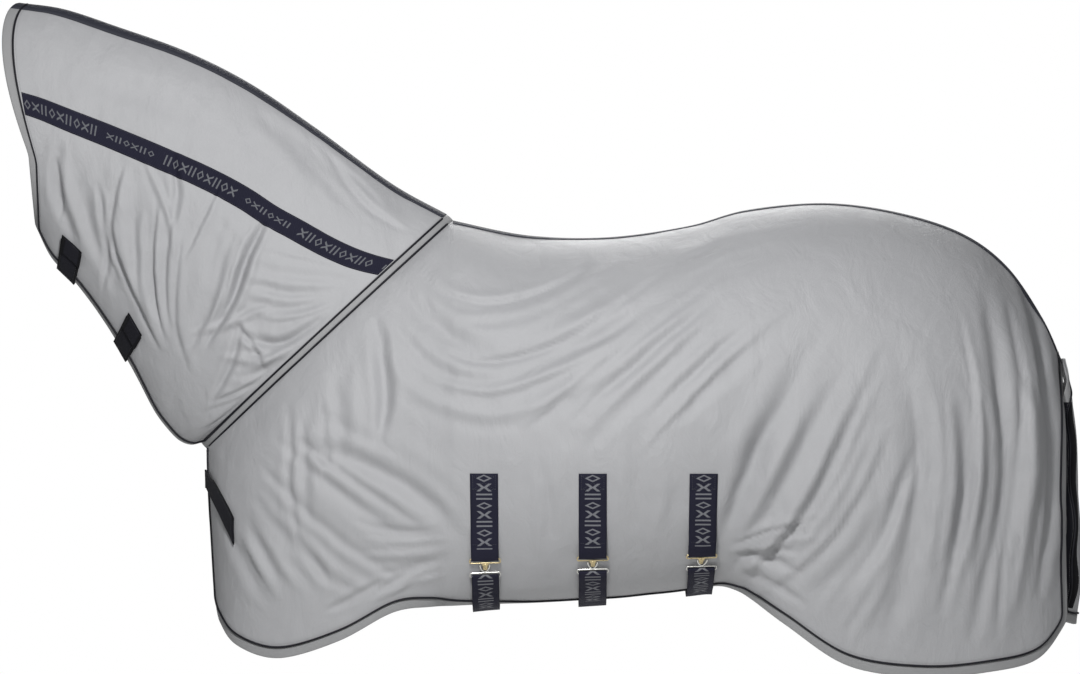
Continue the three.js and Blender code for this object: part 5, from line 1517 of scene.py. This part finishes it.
# ---- Chest strap ----
# A black hook-and-loop strap 46 mm wide that closes the front. It is sewn on the off side, folds
# round the front edge and slants down the near shoulder onto a patch sewn there.
CHEST_TOP, CHEST_FALL, CHEST_HALF = 0.559, 0.113, 0.0235
CHEST_LAST, CHEST_ROOT_LAST, CHEST_PATCH_FROM = 1.72, 0.95, 0.75
CHEST_LEVEL = 0.4  # the row down the ribs where the strap's reach is measured
CHEST_ROW_SHARE = 0.88
CHEST_FOLD = -0.5349
chest_columns = np.linspace(0, CHEST_LAST, 30)


def chest_layer(cloth, turn, height, stations, width=1.0):
    """One face of the strap: it slants down from the front edge and grows a little wider."""
    u = column_of(stations)
    reach = plain_cloth.at(column_of(np.array([0.0, CHEST_LAST])), CHEST_LEVEL)[:, 0]
    share = np.clip((plain_cloth.at(u, CHEST_LEVEL)[:, 0] - reach[0]) / (reach[1] - reach[0]), 0, 1.1)
    v = np.linspace(0, 0.8, 300)
    depth = CHEST_TOP + CHEST_FALL * share
    tops = np.array([np.interp(low, -plain_cloth.at(c, v)[:, 2], v) for c, low in zip(u, depth)])
    slant = 0.85 + 0.35 * np.clip(share, 0, 1)
    rows = []
    for w in np.linspace(-1, 1, 9):
        v_at = tops + CHEST_HALF * w * width * slant / lengths_at(rib_lengths, u)
        rows.append(cloth.at(u, v_at, height) * turn)
    return np.array(rows)


for side, cloth, turn, body, kind, last in (("near", near_body, np.ones(3), "chest_flap", "flap", CHEST_LAST),
                                            ("off", off_body, OFF, "cover", "root", CHEST_ROOT_LAST)):
    stations = chest_columns[chest_columns <= last + 1e-6]
    stations = np.append(stations[stations < last], last)[::-1]
    layers = []
    for half in (HOOK_HALF, -HOOK_HALF):
        strip = chest_layer(cloth, turn, CROSS_HEIGHT + half, stations)
        front = strip[:, -1]
        wrapped = [strip]
        for share in (0.3, 0.6, 0.85, 1.0):
            step = front.copy()
            step[:, 1] = front[:, 1] * (1 - share) - turn[1] * FOLD_GAP
            reach = (CHEST_FOLD - front[:, 0]) * math.sin(share * math.pi / 2)
            step[:, 0] += reach - tapered(half, share)
            wrapped.append(step[:, None])
        layers.append(np.concatenate(wrapped, axis=1))
    web_piece(f"chest_{kind}", layers[0], layers[1], hook_tape, body,
              [f"chest_strap_{kind}"], CHEST_HALF)
    sewn = stations[(stations < 0.97 * last) & (stations > 0.02)]
    rows = chest_layer(cloth, turn, CROSS_HEIGHT + HOOK_ROW_LIFT, sewn, CHEST_ROW_SHARE)
    sew(f"chest_{kind}_stitches", [rows[0], rows[-1], rows[:, 0]], dark_thread, body)
    patch_stations = np.linspace(CHEST_PATCH_FROM, CHEST_LAST - 0.02, 14)
    outer = chest_layer(cloth, turn, PATCH_TOP, patch_stations)
    inner = chest_layer(cloth, turn, PATCH_UNDER, patch_stations)
    web_piece(f"chest_patch_{side}_sewn", outer, inner, hook_tape, "cover",
              [f"chest_patch_{side}"], CHEST_HALF)


# ---- Tail flap ----
# One piece of the same grey cloth, sewn on at the dock and hanging loose over the tail. Its edge is
# bound and piped like the cover's. Black strips laid on its two turned-in sides are painted shade:
# they stand for the dark gap between the cover's rear edges and the flap.
FLAP_X = np.array([1323.8, 1344, 1354, 1357, 1360, 1364, 1364, 1352]) * mm
FLAP_HALF = np.array([0.36, 0.66, 0.84, 0.94, 1, 1, 0.97, 0.86])
FLAP_WIDTH, FLAP_LENGTH, FLAP_TOP = 0.150, 0.572, -0.2987
SIDE_TURN, FLAP_SIDE = 0.80, 0.034
FLAP_POINTS = (120, 90, 120)  # down one side, along the foot and up the other
# Painted shade strips: where they lie down the flap, how they wave, their height, and each one's side and
# edges.
SHADE_STRIP_SPAN, SHADE_STRIP_WAVE, SHADE_STRIP_UNDER = (0.165, 0.945), 0.010, 0.0006
SHADE_STRIPS = (("near", 0.002, 0.088), ("off", 0.998, 0.912))


def flap_net(columns, rows_count):
    """The flap hangs behind the tail, with slow waves across it, small gathers at its top seam and two
    sides that turn forward inside the cover's rear edges."""
    net = np.zeros((columns, rows_count, 3))
    for j, share in enumerate(np.linspace(0, 1, rows_count)):
        k = share * (len(FLAP_X) - 1)
        width, x = FLAP_WIDTH * through(FLAP_HALF, k), through(FLAP_X, k)
        for i, w in enumerate(np.linspace(-1, 1, columns)):
            wave = 0.0040 * math.sin(7.5 * w + 5 * share + 0.8) + 0.0020 * math.sin(17 * w - 6 * share)
            wave *= min(1, share * 5) * (0.6 + 0.4 * abs(w))
            gather = 0.003 * math.sin(26 * w) * math.exp(-share * 9) * min(1, share * 14)
            turned = max(0.0, (abs(w) - SIDE_TURN) / (1 - SIDE_TURN))
            open_share = min(1, max(0, share - 0.05) * 6)
            forward = FLAP_SIDE * open_share * (turned - 0.16 * math.sin(math.pi * turned))
            inward = min(abs(w), SIDE_TURN + (1 - SIDE_TURN) * (0.62 * turned ** 0.55 if turned else 0))
            spread = inward * open_share + abs(w) * (1 - open_share)
            wavy = 0.004 * math.sin(11 * share + 1) + 0.003 * math.sin(23 * share)
            behind = (x - 0.006 * w * w * min(1, share * 4) + wave + gather - 0.004 * min(1, share * 5)
                      - forward + wavy * turned)
            low = FLAP_TOP - FLAP_LENGTH * share + 0.010 * turned * share ** 4
            net[i, j] = (behind, math.copysign(spread, w) * width * 0.99, low)
    return net


tail_net = flap_net(90, 130)
tail = Cloth(tail_net)
tail_lengths = net_uv(tail_net)[:, -1, 1]
flap = shell("tail_flap_cloth", tail.net + tail.normals * CLOTH_THICK / 2,
             tail.net - tail.normals * CLOTH_THICK / 2, net_uv(tail_net))
finish_piece(flap, cloth_grey, "tail_cover", ["tail_flap"])
# Black sheets in the hook tape's finish on the flap's turned-in sides: painted shade for the dark gap between
# the cover's rear edges and the flap.
shade_strip_v = np.linspace(*SHADE_STRIP_SPAN, 110)
for side, edge, inner_edge in SHADE_STRIPS:
    wavy = SHADE_STRIP_WAVE * np.sin(shade_strip_v * 24) * np.sign(0.5 - edge)
    steps = np.linspace(0, 1, 9)
    outer = [tail.at(edge + (inner_edge + wavy - edge) * w, shade_strip_v, 0.0012 + 0.0004 * math.sin(math.pi * w))
             for w in steps]
    inner = [tail.at(edge + (inner_edge + wavy - edge) * w, shade_strip_v, SHADE_STRIP_UNDER) for w in steps[::-1]]
    swept(f"tail_flap_facing_{side}", outer + inner, hook_tape, "tail_cover")


def flap_edge(inset, height):
    """A line round the flap's two sides and foot."""
    return edge_line(tail, tail_lengths, inset, height, True, FLAP_POINTS, 0.0, 0.0)


for kind, section, material, slot in (("binding", BINDING_PROFILE, grey_tape, "grey_binding"),
                                      ("piping", piping_section, satin_piping, "piping")):
    swept(f"tail_flap_{kind}_tape", [flap_edge(*spot) for spot in section], material,
                            "tail_cover", [f"tail_flap_{kind}"])
sew("tail_flap_stitches", [flap_edge(STITCH_INSETS[0], STITCH_HEIGHT)], grey_thread,
                      "tail_cover")
